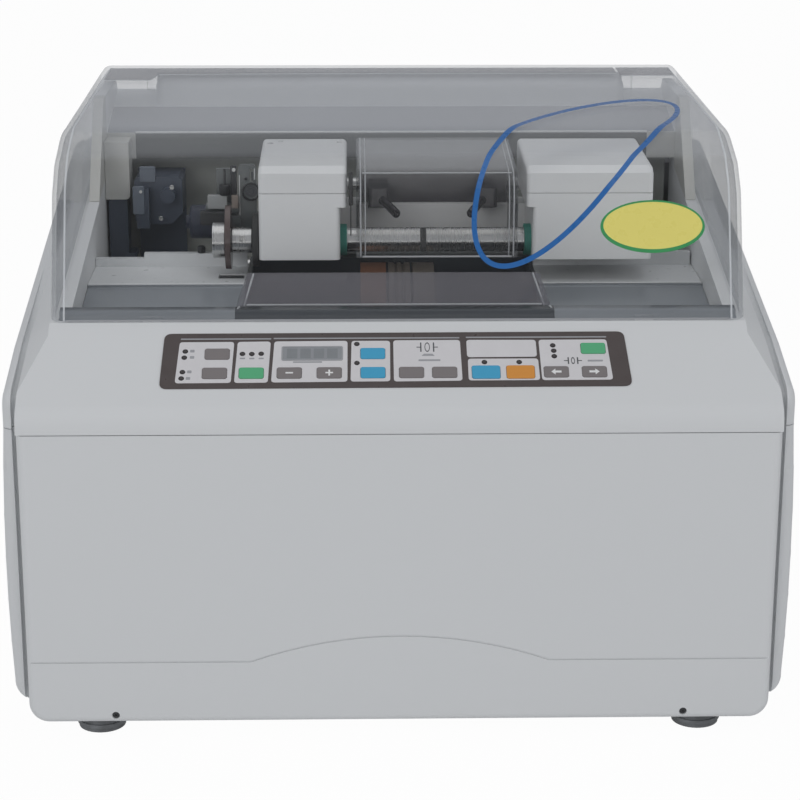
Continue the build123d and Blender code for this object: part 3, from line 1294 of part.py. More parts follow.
def arm_cover(span, left_hole, right_hole):
    """Lower shell of an arm cover, open below and behind, with shaft holes."""
    high = HEAD_SEAM_Z - FIT_GAP / 2
    cover = front_prism(cover_face(span, 0, HEAD_BOTTOM_Z, high), HEAD_FRONT_Y, HEAD_BACK_Y)
    front_edges = cover.edges().filter_by(Axis.Z).sort_by(Axis.Y)[:3]
    cover = fillet(front_edges, HEAD_EDGE)
    hollow = cover_face(span, COVER_WALL, HEAD_BOTTOM_Z - 1, high + 1)
    cover -= front_prism(hollow, HEAD_FRONT_Y + COVER_WALL, HEAD_BACK_Y + 1)
    beam_z = BEAM_TOP_Z + FIT_GAP
    notch_left = span[0] + COVER_WALL if span == LEFT_COVER else span[0] - 1
    notch_right = span[1] + 1 if span == LEFT_COVER else span[1] - COVER_WALL
    cover -= block(notch_left, notch_right, BEAM_FRONT_Y - FIT_GAP, HEAD_BACK_Y + 1, 0, beam_z)
    reach = COVER_STEP + COVER_WALL + 1
    for hole, x in ((left_hole, span[0]), (right_hole, span[1])):
        if hole:
            cover -= rod_x(hole, x - reach, x + reach, LENS_Y, LENS_Z)
            cover -= block(x - reach, x + reach, LENS_Y - hole, LENS_Y + hole, 0, LENS_Z)
    sync_hole = SYNC_RADIUS + WALL
    inner_side = span[1] if span == LEFT_COVER else span[0]
    cover -= rod_x(sync_hole, inner_side - reach, inner_side + reach, SYNC_Y, SYNC_Z)
    return cover


def guard_profile(inset, low):
    """Lens guard from the side: upright front, rounded shoulder, flat top."""
    front = GUARD_FRONT_Y + inset
    corner_z = GUARD_CORNER_Z + 4 - inset
    profile = outline(
        (front, low), (front, corner_z), (HEAD_BACK_Y, GUARD_TOP_Z - inset), (HEAD_BACK_Y, low)
    )
    return round_at(profile, (front, corner_z), GUARD_CORNER - inset)


def lens_guard():
    """Clear hood over the lens, open below and behind, slotted for the shafts."""
    guard = side_prism(guard_profile(0, GUARD_BOTTOM_Z), GUARD_LEFT_X, GUARD_RIGHT_X)
    arcs = guard.edges().filter_by_position(Axis.Z, GUARD_BOTTOM_Z + 1, HOOD_TOP_Z)
    sides = [e for e in arcs if min(abs(e.center().X - x) for x in (GUARD_LEFT_X, GUARD_RIGHT_X)) < 0.1
             and e.center().Y < HEAD_BACK_Y - 1]
    guard = fillet(sides, GUARD_EDGE)
    inner_left = GUARD_LEFT_X + GUARD_WALL
    inner_right = GUARD_RIGHT_X - GUARD_WALL
    hollow = side_prism(guard_profile(GUARD_WALL, GUARD_BOTTOM_Z - 1), inner_left, inner_right)
    guard -= hollow
    guard -= block(
        inner_left, inner_right, HEAD_BACK_Y - GUARD_WALL * 2, HEAD_BACK_Y + 1,
        0, GUARD_TOP_Z - GUARD_WALL
    )
    slot = SHAFT_RADIUS + WALL / 3
    wide = (GUARD_LEFT_X - 1, GUARD_RIGHT_X + 1)
    guard -= rod_x(slot, *wide, LENS_Y, LENS_Z)
    guard -= block(*wide, LENS_Y - slot, LENS_Y + slot, 0, LENS_Z)
    guard -= block(*wide, BEAM_FRONT_Y - FIT_GAP, HEAD_BACK_Y + 1, 0, BEAM_TOP_Z + FIT_GAP)
    guard -= rod_x(SYNC_RADIUS + 1, *wide, SYNC_Y, SYNC_Z)
    return guard


def guard_screen():
    """Dark splash screen on the beam, behind the lens and in front of the layshaft."""
    left = GUARD_LEFT_X + GUARD_WALL + FIT_GAP
    right = GUARD_RIGHT_X - GUARD_WALL - FIT_GAP
    front = BEAM_FRONT_Y + 6 + FIT_GAP
    return block(left, right, front, front + SCREEN_THICKNESS, BEAM_TOP_Z, SCREEN_TOP_Z)


def coolant_nozzles():
    """Two jets on the beam that wet the lens from behind, and the screen between them."""
    solids = [guard_screen()]
    for x, lean in ((NOZZLE_LEFT_X, 1), (NOZZLE_RIGHT_X, -1)):
        base = block(
            x - 8, x + 8, NOZZLE_Y - 9, BEAM_FRONT_Y + 6, BEAM_TOP_Z, BEAM_TOP_Z + 15
        )
        base = fillet(base.edges().filter_by(Axis.Z), WALL)
        start = Vector(x, NOZZLE_Y, BEAM_TOP_Z + 9)
        tip = Vector(x + lean * 14, NOZZLE_Y - 32, BEAM_TOP_Z + 1)
        axis = tip - start
        tube = Plane(origin=start, z_dir=axis) * extrude(Circle(NOZZLE_RADIUS), amount=axis.length)
        bore = Plane(origin=start + axis * 0.6, z_dir=axis) * extrude(
            Circle(NOZZLE_RADIUS * 0.6), amount=axis.length
        )
        solids.append(base + tube - bore)
    return Compound(children=solids)


def shaft_seals():
    """Rings around both lens shafts where they leave the arm covers."""
    rings = []
    for low in (LEFT_COVER[1] - COVER_STEP, RIGHT_COVER[0] + COVER_STEP - SEAL_THICKNESS):
        ring = rod_x(SEAL_RADIUS, low, low + SEAL_THICKNESS, LENS_Y, LENS_Z)
        ring -= rod_x(SHAFT_RADIUS + RUN_GAP * 4, low - 1, low + SEAL_THICKNESS + 1, LENS_Y, LENS_Z)
        rings.append(ring)
    return Compound(children=rings)


def gauge_plate():
    """Slotted plate with its round clamp, on a bar beside the left arm, and a roller."""
    plate = Pos(GAUGE_LEFT_X + GAUGE_WIDTH / 2, (GAUGE_TOP_Z + GAUGE_BAR_Z) / 2) * RectangleRounded(
        GAUGE_WIDTH, GAUGE_TOP_Z - GAUGE_BAR_Z, WALL
    )
    slot_x = GAUGE_LEFT_X + GAUGE_WIDTH * 0.72
    plate -= Pos(slot_x, GAUGE_TOP_Z - 9) * Rot(0, 0, 90) * SlotOverall(12, 2.4)
    sheet = front_prism(plate, GAUGE_Y - 3, GAUGE_Y)
    bar = block(
        GAUGE_BAR_LEFT_X, LEFT_COVER[0], GAUGE_Y, GAUGE_Y + 10,
        GAUGE_BAR_Z, GAUGE_BAR_Z + GAUGE_BAR_HEIGHT
    )
    clamp_x = GAUGE_LEFT_X + GAUGE_WIDTH * 0.7
    clamp_z = GAUGE_TOP_Z - 20
    knob = rod_y(7, GAUGE_Y - 7, GAUGE_Y - 3, clamp_x, clamp_z)
    knob -= rod_y(5.4, GAUGE_Y - 8, GAUGE_Y - 6, clamp_x, clamp_z)
    roller = rod_x(4.2, GAUGE_BAR_LEFT_X - 4, GAUGE_LEFT_X, GAUGE_Y - 0.5, GAUGE_BAR_Z + 25)
    stay = block(
        GAUGE_BAR_LEFT_X + 4, GAUGE_LEFT_X - 3, GAUGE_Y + 1, GAUGE_Y + 5,
        GAUGE_BAR_Z + GAUGE_BAR_HEIGHT, GAUGE_TOP_Z - 4
    )
    block_low = block(
        GAUGE_BAR_LEFT_X, GAUGE_LEFT_X + 1, GAUGE_Y - 6, GAUGE_Y + 1,
        GAUGE_BAR_Z + 14, GAUGE_BAR_Z + GAUGE_BAR_HEIGHT
    )
    return sheet + bar + knob + roller + stay + block_low


def size_motor():
    """Small motor on the end of the gauge bar."""
    right = GAUGE_BAR_LEFT_X
    left = right - SIZE_MOTOR_LENGTH
    motor = rod_x(SIZE_MOTOR_RADIUS, left, right, SIZE_MOTOR_Y, SIZE_MOTOR_Z)
    motor = chamfer(motor.edges().filter_by(GeomType.CIRCLE).sort_by(Axis.X)[0], WALL / 2)
    motor += rod_x(SIZE_MOTOR_RADIUS * 0.4, left - 3, left, SIZE_MOTOR_Y, SIZE_MOTOR_Z)
    return motor


# ---- lens shafts ------------------------------------------------------------
def lens_shaft_left():
    """Left lens shaft with pulley and rings, and the collars of the pattern."""
    inner_x = LEFT_COVER[1] - COVER_STEP - COVER_WALL
    shaft = rod_x(SHAFT_RADIUS, inner_x, PAD_X - CHUCK_GAP, LENS_Y, LENS_Z)
    shaft -= ring_groove(7.0)
    shaft += rod_x(JOURNAL_RADIUS, FORMER_X - CAP_LENGTH, inner_x, LENS_Y, LENS_Z)
    pulley_end = LEFT_PULLEY_X + LENS_PULLEY_WIDTH
    shaft += rod_x(LENS_PULLEY_RADIUS, LEFT_PULLEY_X, pulley_end, LENS_Y, LENS_Z)
    collar = rod_x(
        COLLAR_RADIUS, COLLAR_LEFT_X, COLLAR_LEFT_X + COLLAR_LENGTH, LENS_Y, LENS_Z
    )
    collar = chamfer(collar.edges().filter_by(GeomType.CIRCLE), 0.6)
    screw_x = COLLAR_LEFT_X + COLLAR_LENGTH / 2
    collar -= rod_y(2.2, LENS_Y - COLLAR_RADIUS - 1, LENS_Y - JOURNAL_RADIUS, screw_x, LENS_Z + 3)
    cap = rod_x(CAP_RADIUS, FORMER_X - CAP_LENGTH, FORMER_X, LENS_Y, LENS_Z)
    cap = chamfer(cap.edges().filter_by(GeomType.CIRCLE), 0.8)
    journal = rod_x(JOURNAL_RADIUS, FORMER_X - CAP_LENGTH - 1, inner_x, LENS_Y, LENS_Z)
    return Compound(children=[shaft, collar - journal, cap - journal])


def ring_groove(x):
    """Narrow groove turned into the visible part of a lens shaft."""
    band = rod_x(SHAFT_RADIUS + 1, x, x + 1, LENS_Y, LENS_Z)
    return band - rod_x(SHAFT_RADIUS - 0.6, x - 1, x + 2, LENS_Y, LENS_Z)


def former_disc():
    """Lens-shaped pattern that sets the outline, mounted off its middle."""
    shape = Ellipse(FORMER_HALF_WIDTH, FORMER_HALF_HEIGHT)
    shape = Pos(LENS_Y, LENS_Z + FORMER_OFFSET) * shape
    shape -= Pos(LENS_Y, LENS_Z) * Circle(JOURNAL_RADIUS)
    return side_prism(shape, FORMER_X, FORMER_X + FORMER_THICKNESS)


def lens_shaft_right():
    """Right lens shaft: slides to clamp the lens, and turns with the left one."""
    pad_end = PAD_X + PAD_THICKNESS
    shaft = rod_x(SHAFT_RADIUS, pad_end, RIGHT_STEP_X, LENS_Y, LENS_Z)
    shaft -= ring_groove(35.5)
    shaft += rod_x(JOURNAL_RADIUS, RIGHT_STEP_X, RIGHT_SHAFT_END_X + 4, LENS_Y, LENS_Z)
    for low in (YOKE_X - 3 - RUN_GAP * 2, YOKE_X + YOKE_THICKNESS + RUN_GAP * 2):
        shaft += rod_x(LENS_PULLEY_RADIUS, low, low + 3, LENS_Y, LENS_Z)
    return shaft


def clamp_pad():
    """Rubber pad on the end of the right lens shaft."""
    pad = rod_x(SHAFT_RADIUS, PAD_X, PAD_X + PAD_THICKNESS, LENS_Y, LENS_Z)
    return chamfer(pad.edges().filter_by(GeomType.CIRCLE).sort_by(Axis.X)[0], 0.5)


def clamp_yoke():
    """Yoke that pushes the right lens shaft, guided by the rod in the arm."""
    boss = JOURNAL_RADIUS * 2
    collar = YOKE_GUIDE_RADIUS * 2.25
    low = LENS_Z - JOURNAL_RADIUS - 1
    plate = outline(
        (LENS_Y - boss, low),
        (LENS_Y - boss, LENS_Z + boss),
        (YOKE_GUIDE_Y - collar, YOKE_GUIDE_Z + collar),
        (YOKE_GUIDE_Y + collar, YOKE_GUIDE_Z + collar),
        (YOKE_GUIDE_Y + collar, YOKE_GUIDE_Z - collar),
        (LENS_Y + boss, low),
    )
    plate -= Pos(LENS_Y, LENS_Z) * Circle(JOURNAL_RADIUS + RUN_GAP)
    plate -= Pos(YOKE_GUIDE_Y, YOKE_GUIDE_Z) * Circle(YOKE_GUIDE_RADIUS + RUN_GAP)
    return side_prism(plate, YOKE_X, YOKE_X + YOKE_THICKNESS)


def lens_pulley_right():
    """Pulley that turns the right lens shaft while the shaft slides through it."""
    wheel = rod_x(
        LENS_PULLEY_RADIUS, RIGHT_PULLEY_X, RIGHT_PULLEY_X + LENS_PULLEY_WIDTH, LENS_Y, LENS_Z
    )
    return wheel - rod_x(
        JOURNAL_RADIUS + RUN_GAP, RIGHT_PULLEY_X - 1, RIGHT_PULLEY_X + LENS_PULLEY_WIDTH + 1,
        LENS_Y, LENS_Z
    )


def sync_shaft():
    """Layshaft that turns both lens shafts together, with its two pulleys."""
    left = LEFT_COVER[0] + COVER_WALL + FIT_GAP * 2
    right = RIGHT_ARM_X[0] + ARM_PLATE + LENS_PULLEY_WIDTH * 2
    shaft = rod_x(SYNC_RADIUS, left, right, SYNC_Y, SYNC_Z)
    for low in (LEFT_PULLEY_X, RIGHT_PULLEY_X):
        shaft += rod_x(LENS_PULLEY_RADIUS, low, low + LENS_PULLEY_WIDTH, SYNC_Y, SYNC_Z)
    return shaft


def sync_belts():
    """Two small belts from the layshaft to the lens shafts."""
    belts = []
    for low in (LEFT_PULLEY_X, RIGHT_PULLEY_X):
        belts.append(
            belt(
                (LENS_Y, LENS_Z), (SYNC_Y, SYNC_Z), LENS_PULLEY_RADIUS, LENS_PULLEY_RADIUS,
                LENS_BELT_THICKNESS, low + 1, low + LENS_PULLEY_WIDTH - 1
            )
        )
    return Compound(children=belts)


# ---- left of the well -------------------------------------------------------
def traverse_drive():
    """Traverse motor on its bracket, and the post in the corner of the well."""
    left, front, low = TRAVERSE_X, TRAVERSE_Y, TRAVERSE_Z
    right, high = left + TRAVERSE_SIZE, low + TRAVERSE_SIZE
    back = RAIL_BACK_Y + RAIL_RADIUS + WALL
    motor = block(left, right, front, back, low, high)
    corners = motor.edges().filter_by(Axis.Y).sort_by(Axis.Z)
    lower_right = corners[:2].sort_by(Axis.X)[-1]
    motor = chamfer([edge for edge in corners if edge != lower_right], WALL)
    lower_right = motor.edges().filter_by(Axis.Y).sort_by(lambda e: e.center().Z - e.center().X)[0]
    motor = chamfer(lower_right, WALL * 3)
    motor += rod_y(6, front - 9, front, left + 27, low + 24)
    motor += block(left + 2, left + 12, front - 8, front, low - 2, high - 8)
    bracket = block(left, right, back, back + 4, BED_TOP_Z, high)
    bracket += block(left, right, back, back + 12, BED_TOP_Z, BED_TOP_Z + 5)
    post_low = RAIL_Z + RAIL_RADIUS * 1.6
    post = block(
        POST_LEFT_X, POST_LEFT_X + POST_WIDTH, POST_FRONT_Y, POST_FRONT_Y + POST_DEPTH,
        post_low, POST_TOP_Z
    )
    foot = block(
        POST_LEFT_X, -RAIL_BLOCK_X, POST_FRONT_Y, POST_FRONT_Y + POST_DEPTH, post_low, post_low + 4
    )
    return Compound(children=[motor + bracket, post + foot])


# ---- hood -------------------------------------------------------------------
def hood_profile(inset):
    """Hood from the side: raked front, rounded brow and nearly flat top."""
    reach = inset * 3
    low = HOOD_SEAT_GAP - reach
    brow = (HOOD_BROW_Y, HOOD_TOP_Z - HOOD_BROW_DROP)
    crest = (HOOD_CREST_Y, HOOD_TOP_Z - HOOD_CREST_DROP)
    flat = (HOOD_FLAT_Y, HOOD_TOP_Z - HOOD_FLAT_DROP)
    lean = (brow[0] - HOOD_FRONT_Y) / (brow[1] - CONSOLE_TOP_Z - HOOD_SEAT_GAP)
    shape = outline(
        (HOOD_FRONT_Y - reach * lean, CONSOLE_TOP_Z + low),
        brow,
        crest,
        flat,
        (HOOD_BACK_Y + reach, HOOD_TOP_Z),
        (HOOD_BACK_Y + reach, seat_z(HOOD_BACK_Y) + low),
    )
    shape = round_at(shape, brow, HOOD_BROW_RADIUS)
    shape = round_at(shape, crest, HOOD_BROW_RADIUS)
    shape = round_at(shape, flat, HOOD_FLAT_RADIUS)
    if inset:
        return offset(shape, amount=-inset, kind=Kind.INTERSECTION)
    return round_at(shape, (HOOD_BACK_Y, seat_z(HOOD_BACK_Y) + low), HOOD_TAIL_RADIUS)


def hood():
    """Clear hood, open below and behind, with two notches in its lower edge."""
    shell = side_prism(hood_profile(0), -HOOD_HALF, HOOD_HALF)
    rounded = [
        edge
        for edge in shell.edges()
        if abs(edge.center().X) > HOOD_HALF - 0.1
        and edge.center().Y < HOOD_BACK_Y - 1
        and edge.center().Z > seat_z(edge.center().Y) + HOOD_EDGE
    ]
    shell = fillet(rounded, HOOD_EDGE)
    inside = HOOD_HALF - HOOD_WALL
    hollow = side_prism(hood_profile(HOOD_WALL), -inside, inside)
    rounded = [
        edge
        for edge in hollow.edges()
        if abs(edge.center().X) > inside - 0.1
        and edge.center().Y < HOOD_BACK_Y
        and edge.center().Z > seat_z(edge.center().Y) + HOOD_EDGE
    ]
    shell -= fillet(rounded, HOOD_EDGE - HOOD_WALL)
    for side in (-1, 1):
        middle = side * HOOD_NOTCH_X
        half = HOOD_NOTCH_WIDTH / 2
        shell -= block(
            middle - half, middle + half, HOOD_FRONT_Y - WALL, HOOD_FRONT_Y + WALL * 3,
            CONSOLE_TOP_Z, CONSOLE_TOP_Z + HOOD_NOTCH_HEIGHT
        )
    return shell


def hood_hinge_lugs():
    """Lugs under the hood's rear edge, each with a pin in the hinge barrel."""
    lugs = []
    for side in (-1, 1):
        near = side * (BARREL_HALF + FIT_GAP)
        far = side * (BARREL_HALF + FIT_GAP + LUG_WIDTH)
        low, high = sorted((near, far))
        top = HOOD_TOP_Z - HOOD_WALL - FIT_GAP
        plate = block(low, high, HINGE_Y - LUG_RADIUS, HINGE_Y + LUG_RADIUS, HINGE_Z, top)
        plate += rod_x(LUG_RADIUS, low, high, HINGE_Y, HINGE_Z)
        pin_end = side * (BARREL_HALF - HINGE_PIN_DEPTH)
        pin_low, pin_high = sorted((pin_end, near))
        lugs.append(plate + rod_x(HINGE_PIN_RADIUS, pin_low, pin_high, HINGE_Y, HINGE_Z))
    return Compound(children=lugs)


# ---- console panel and keys -------------------------------------------------
def key_size(name):
    """Width and height of a key."""
    if name in WIDE_KEYS:
        return WIDE_KEY_WIDTH, WIDE_KEY_HEIGHT
    return KEY_WIDTH, KEY_HEIGHT


def console_panel():
    """Control panel with an aperture for every key."""
    depth = PANEL_THICKNESS - PANEL_PROUD
    face = RectangleRounded(PANEL_WIDTH, PANEL_HEIGHT, PANEL_CORNER)
    panel = extrude(CONSOLE.offset(-depth) * face, amount=PANEL_THICKNESS)
    for name, (x, y) in KEYS.items():
        width, height = key_size(name)
        hole = Pos(x, y) * RectangleRounded(
            width + KEY_GAP * 2, height + KEY_GAP * 2, KEY_CORNER + KEY_GAP
        )
        panel -= extrude(CONSOLE.offset(-depth - 1) * hole, amount=PANEL_THICKNESS + 2)
    return panel


def console_key(name):
    """One key, standing proud of the panel by its travel."""
    x, y = KEYS[name]
    width, height = key_size(name)
    top = PANEL_PROUD + KEY_PROUD
    cap = Pos(x, y) * RectangleRounded(width, height, KEY_CORNER)
    return extrude(CONSOLE.offset(top - KEY_THICKNESS) * cap, amount=KEY_THICKNESS)


# ---- power inlet ------------------------------------------------------------
def power_inlet():
    """Inlet module: flange, socket with three blades and the switch's well."""
    face_y = PANEL_BACK_Y
    width = INLET_WIDTH + WALL * 2
    height = INLET_HEIGHT + WALL * 2
    flange = Pos(INLET_X, INLET_Z) * RectangleRounded(width, height, WALL)
    module = front_prism(flange, face_y, face_y + INLET_FLANGE)
    body = Pos(INLET_X, INLET_Z) * Rectangle(INLET_WIDTH - FIT_GAP, INLET_HEIGHT - FIT_GAP)
    module += front_prism(body, face_y - INLET_DEPTH, face_y)
    socket = Pos(INLET_X + SOCKET_X, INLET_Z) * Rectangle(SOCKET_WIDTH, SOCKET_HEIGHT)
    module -= front_prism(socket, face_y - INLET_DEPTH + WALL, face_y + INLET_FLANGE + 1)
    for step in (-1, 0, 1):
        x = INLET_X + SOCKET_X + step * 7
        z = INLET_Z + (3 if step == 0 else -1)
        module += block(x - 1, x + 1, face_y - INLET_DEPTH, face_y - WALL, z - 2, z + 2)
    well = Pos(INLET_X + ROCKER_X, INLET_Z) * Rectangle(
        ROCKER_WIDTH + FIT_GAP * 2, ROCKER_HEIGHT + FIT_GAP * 2
    )
    module -= front_prism(well, face_y - INLET_DEPTH / 2, face_y + INLET_FLANGE + 1)
    pivot_y = face_y + INLET_FLANGE - ROCKER_SINK
    left = INLET_X + ROCKER_X - ROCKER_WIDTH / 2 - WALL
    right = INLET_X + ROCKER_X + ROCKER_WIDTH / 2 + WALL
    module -= rod_x(ROCKER_PIVOT_RADIUS + RUN_GAP, left, right, pivot_y, INLET_Z)
    return module


def switch_rocker():
    """Rocker with a shallow vee face and stub pivots."""
    pivot_y = PANEL_BACK_Y + INLET_FLANGE - ROCKER_SINK
    half = ROCKER_HEIGHT / 2 - 1
    face_y = pivot_y + ROCKER_SINK - 1
    shape = outline(
        (pivot_y - 3, INLET_Z - half * 0.7),
        (face_y, INLET_Z - half),
        (face_y - 1.2, INLET_Z),
        (face_y, INLET_Z + half),
        (pivot_y - 3, INLET_Z + half * 0.7),
    )
    left = INLET_X + ROCKER_X - ROCKER_WIDTH / 2
    right = INLET_X + ROCKER_X + ROCKER_WIDTH / 2
    rocker = side_prism(shape, left, right)
    stub = WALL / 1.5
    return rocker + rod_x(ROCKER_PIVOT_RADIUS, left - stub, right + stub, pivot_y, INLET_Z)


# ---- write every piece --------------------------------------------------------
PIECES = {
    "base_plate": base_plate,
    "feet": feet,
    "lower_casing": lower_casing,
    "upper_casing": upper_casing,
    "rear_panel": rear_panel,
    "rear_cover": rear_cover,
    "console_panel": console_panel,
    "drip_tray": drip_tray,
    "deck_plates": deck_plates,
    "splash_window": splash_window,
    "chamber_tub": chamber_tub,
    "chassis": chassis,
    "carriage_rails": carriage_rails,
    "traverse_drive": traverse_drive,
    "spindle_housing": spindle_housing,
    "wheel_motor": wheel_motor,
    "wheel_belt": wheel_belt,
    "control_board": control_board,
    "power_inlet": power_inlet,
    "hood": hood,
    "hood_hinge_lugs": hood_hinge_lugs,
    "carriage": carriage,
    "head_frame": head_frame,
    "left_cover": lambda: arm_cover(LEFT_COVER, JOURNAL_RADIUS + 1, SHAFT_RADIUS + 1),
    "left_cap": lambda: arm_cap(LEFT_COVER),
    "right_cover": lambda: arm_cover(RIGHT_COVER, SHAFT_RADIUS + 1, 0),
    "right_cap": lambda: arm_cap(RIGHT_COVER),
    "lens_guard": lens_guard,
    "coolant_nozzles": coolant_nozzles,
    "shaft_seals": shaft_seals,
    "gauge_plate": gauge_plate,
    "size_motor": size_motor,
    "lens_shaft_left": lens_shaft_left,
    "former_disc": former_disc,
    "lens_shaft_right": lens_shaft_right,
    "clamp_pad": clamp_pad,
    "clamp_yoke": clamp_yoke,
    "lens_pulley_right": lens_pulley_right,
    "sync_shaft": sync_shaft,
    "sync_belts": sync_belts,
    "wheel_spindle": wheel_spindle,
    "roughing_wheel": roughing_wheel,
    "finishing_wheels": finishing_wheels,
    "motor_pulley": motor_pulley,
    "former_rest": former_rest,
    "switch_rocker": switch_rocker,
}


def main():
    """Build and write every piece of the edger."""
    os.makedirs("parts", exist_ok=True)
    for name, build in PIECES.items():
        write_part(name, build())
    for name in KEYS:
        write_part(name, console_key(name))


main()
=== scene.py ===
"""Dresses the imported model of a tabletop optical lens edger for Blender 4.5."""

import logging
import math
from dataclasses import dataclass, field
from enum import Enum
from typing import Optional, Sequence

import bmesh
import bpy
from mathutils import Matrix, Vector


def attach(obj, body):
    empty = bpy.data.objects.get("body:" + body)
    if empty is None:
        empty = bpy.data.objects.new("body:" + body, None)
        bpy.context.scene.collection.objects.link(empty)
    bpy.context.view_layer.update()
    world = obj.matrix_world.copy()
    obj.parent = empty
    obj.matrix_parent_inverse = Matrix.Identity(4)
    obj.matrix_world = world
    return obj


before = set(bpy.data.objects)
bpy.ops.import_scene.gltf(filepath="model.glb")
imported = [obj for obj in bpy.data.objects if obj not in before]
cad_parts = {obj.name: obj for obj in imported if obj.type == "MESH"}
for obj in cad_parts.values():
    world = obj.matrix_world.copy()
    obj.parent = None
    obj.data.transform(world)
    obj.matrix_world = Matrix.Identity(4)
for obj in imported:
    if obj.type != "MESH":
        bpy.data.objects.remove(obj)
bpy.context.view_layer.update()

LOG = logging.getLogger("edger")
Colour = tuple[float, float, float]
Point = tuple[float, float, float]
Pair = tuple[float, float]
MM = 0.001
HALF_DEPTH = 0.235


def grey(hex_colour: str) -> Colour:
    """Turn an sRGB hex colour into linear red, green and blue.

    Args:
        hex_colour: Six hex digits.

    Returns:
        The colour in Blender's linear values.
    """
    levels = [int(hex_colour[i:i + 2], 16) / 255 for i in (0, 2, 4)]
    return tuple(v / 12.92 if v <= 0.04045 else ((v + 0.055) / 1.055) ** 2.4 for v in levels)


def place(x: float, y: float, z: float) -> Vector:
    """Give the row-frame point of one stated in mm behind the front wall.

    Args:
        x: Millimetres to the right of the middle.
        y: Millimetres behind the front wall.
        z: Millimetres above the table.

    Returns:
        The same point in metres in the row frame.
    """
    return Vector((x * MM, y * MM - HALF_DEPTH, z * MM))


class Body(str, Enum):
    """Rigid bodies of the model that the dressed pieces ride on."""

    CASING = "casing"
    HOOD = "hood"
    HEAD = "head"
    LEFT_SHAFT = "left_lens_shaft"
    KEY_MINUS = "key_minus_button"
    KEY_PLUS = "key_plus_button"
    KEY_LEFT = "key_left_button"
    KEY_RIGHT = "key_right_button"


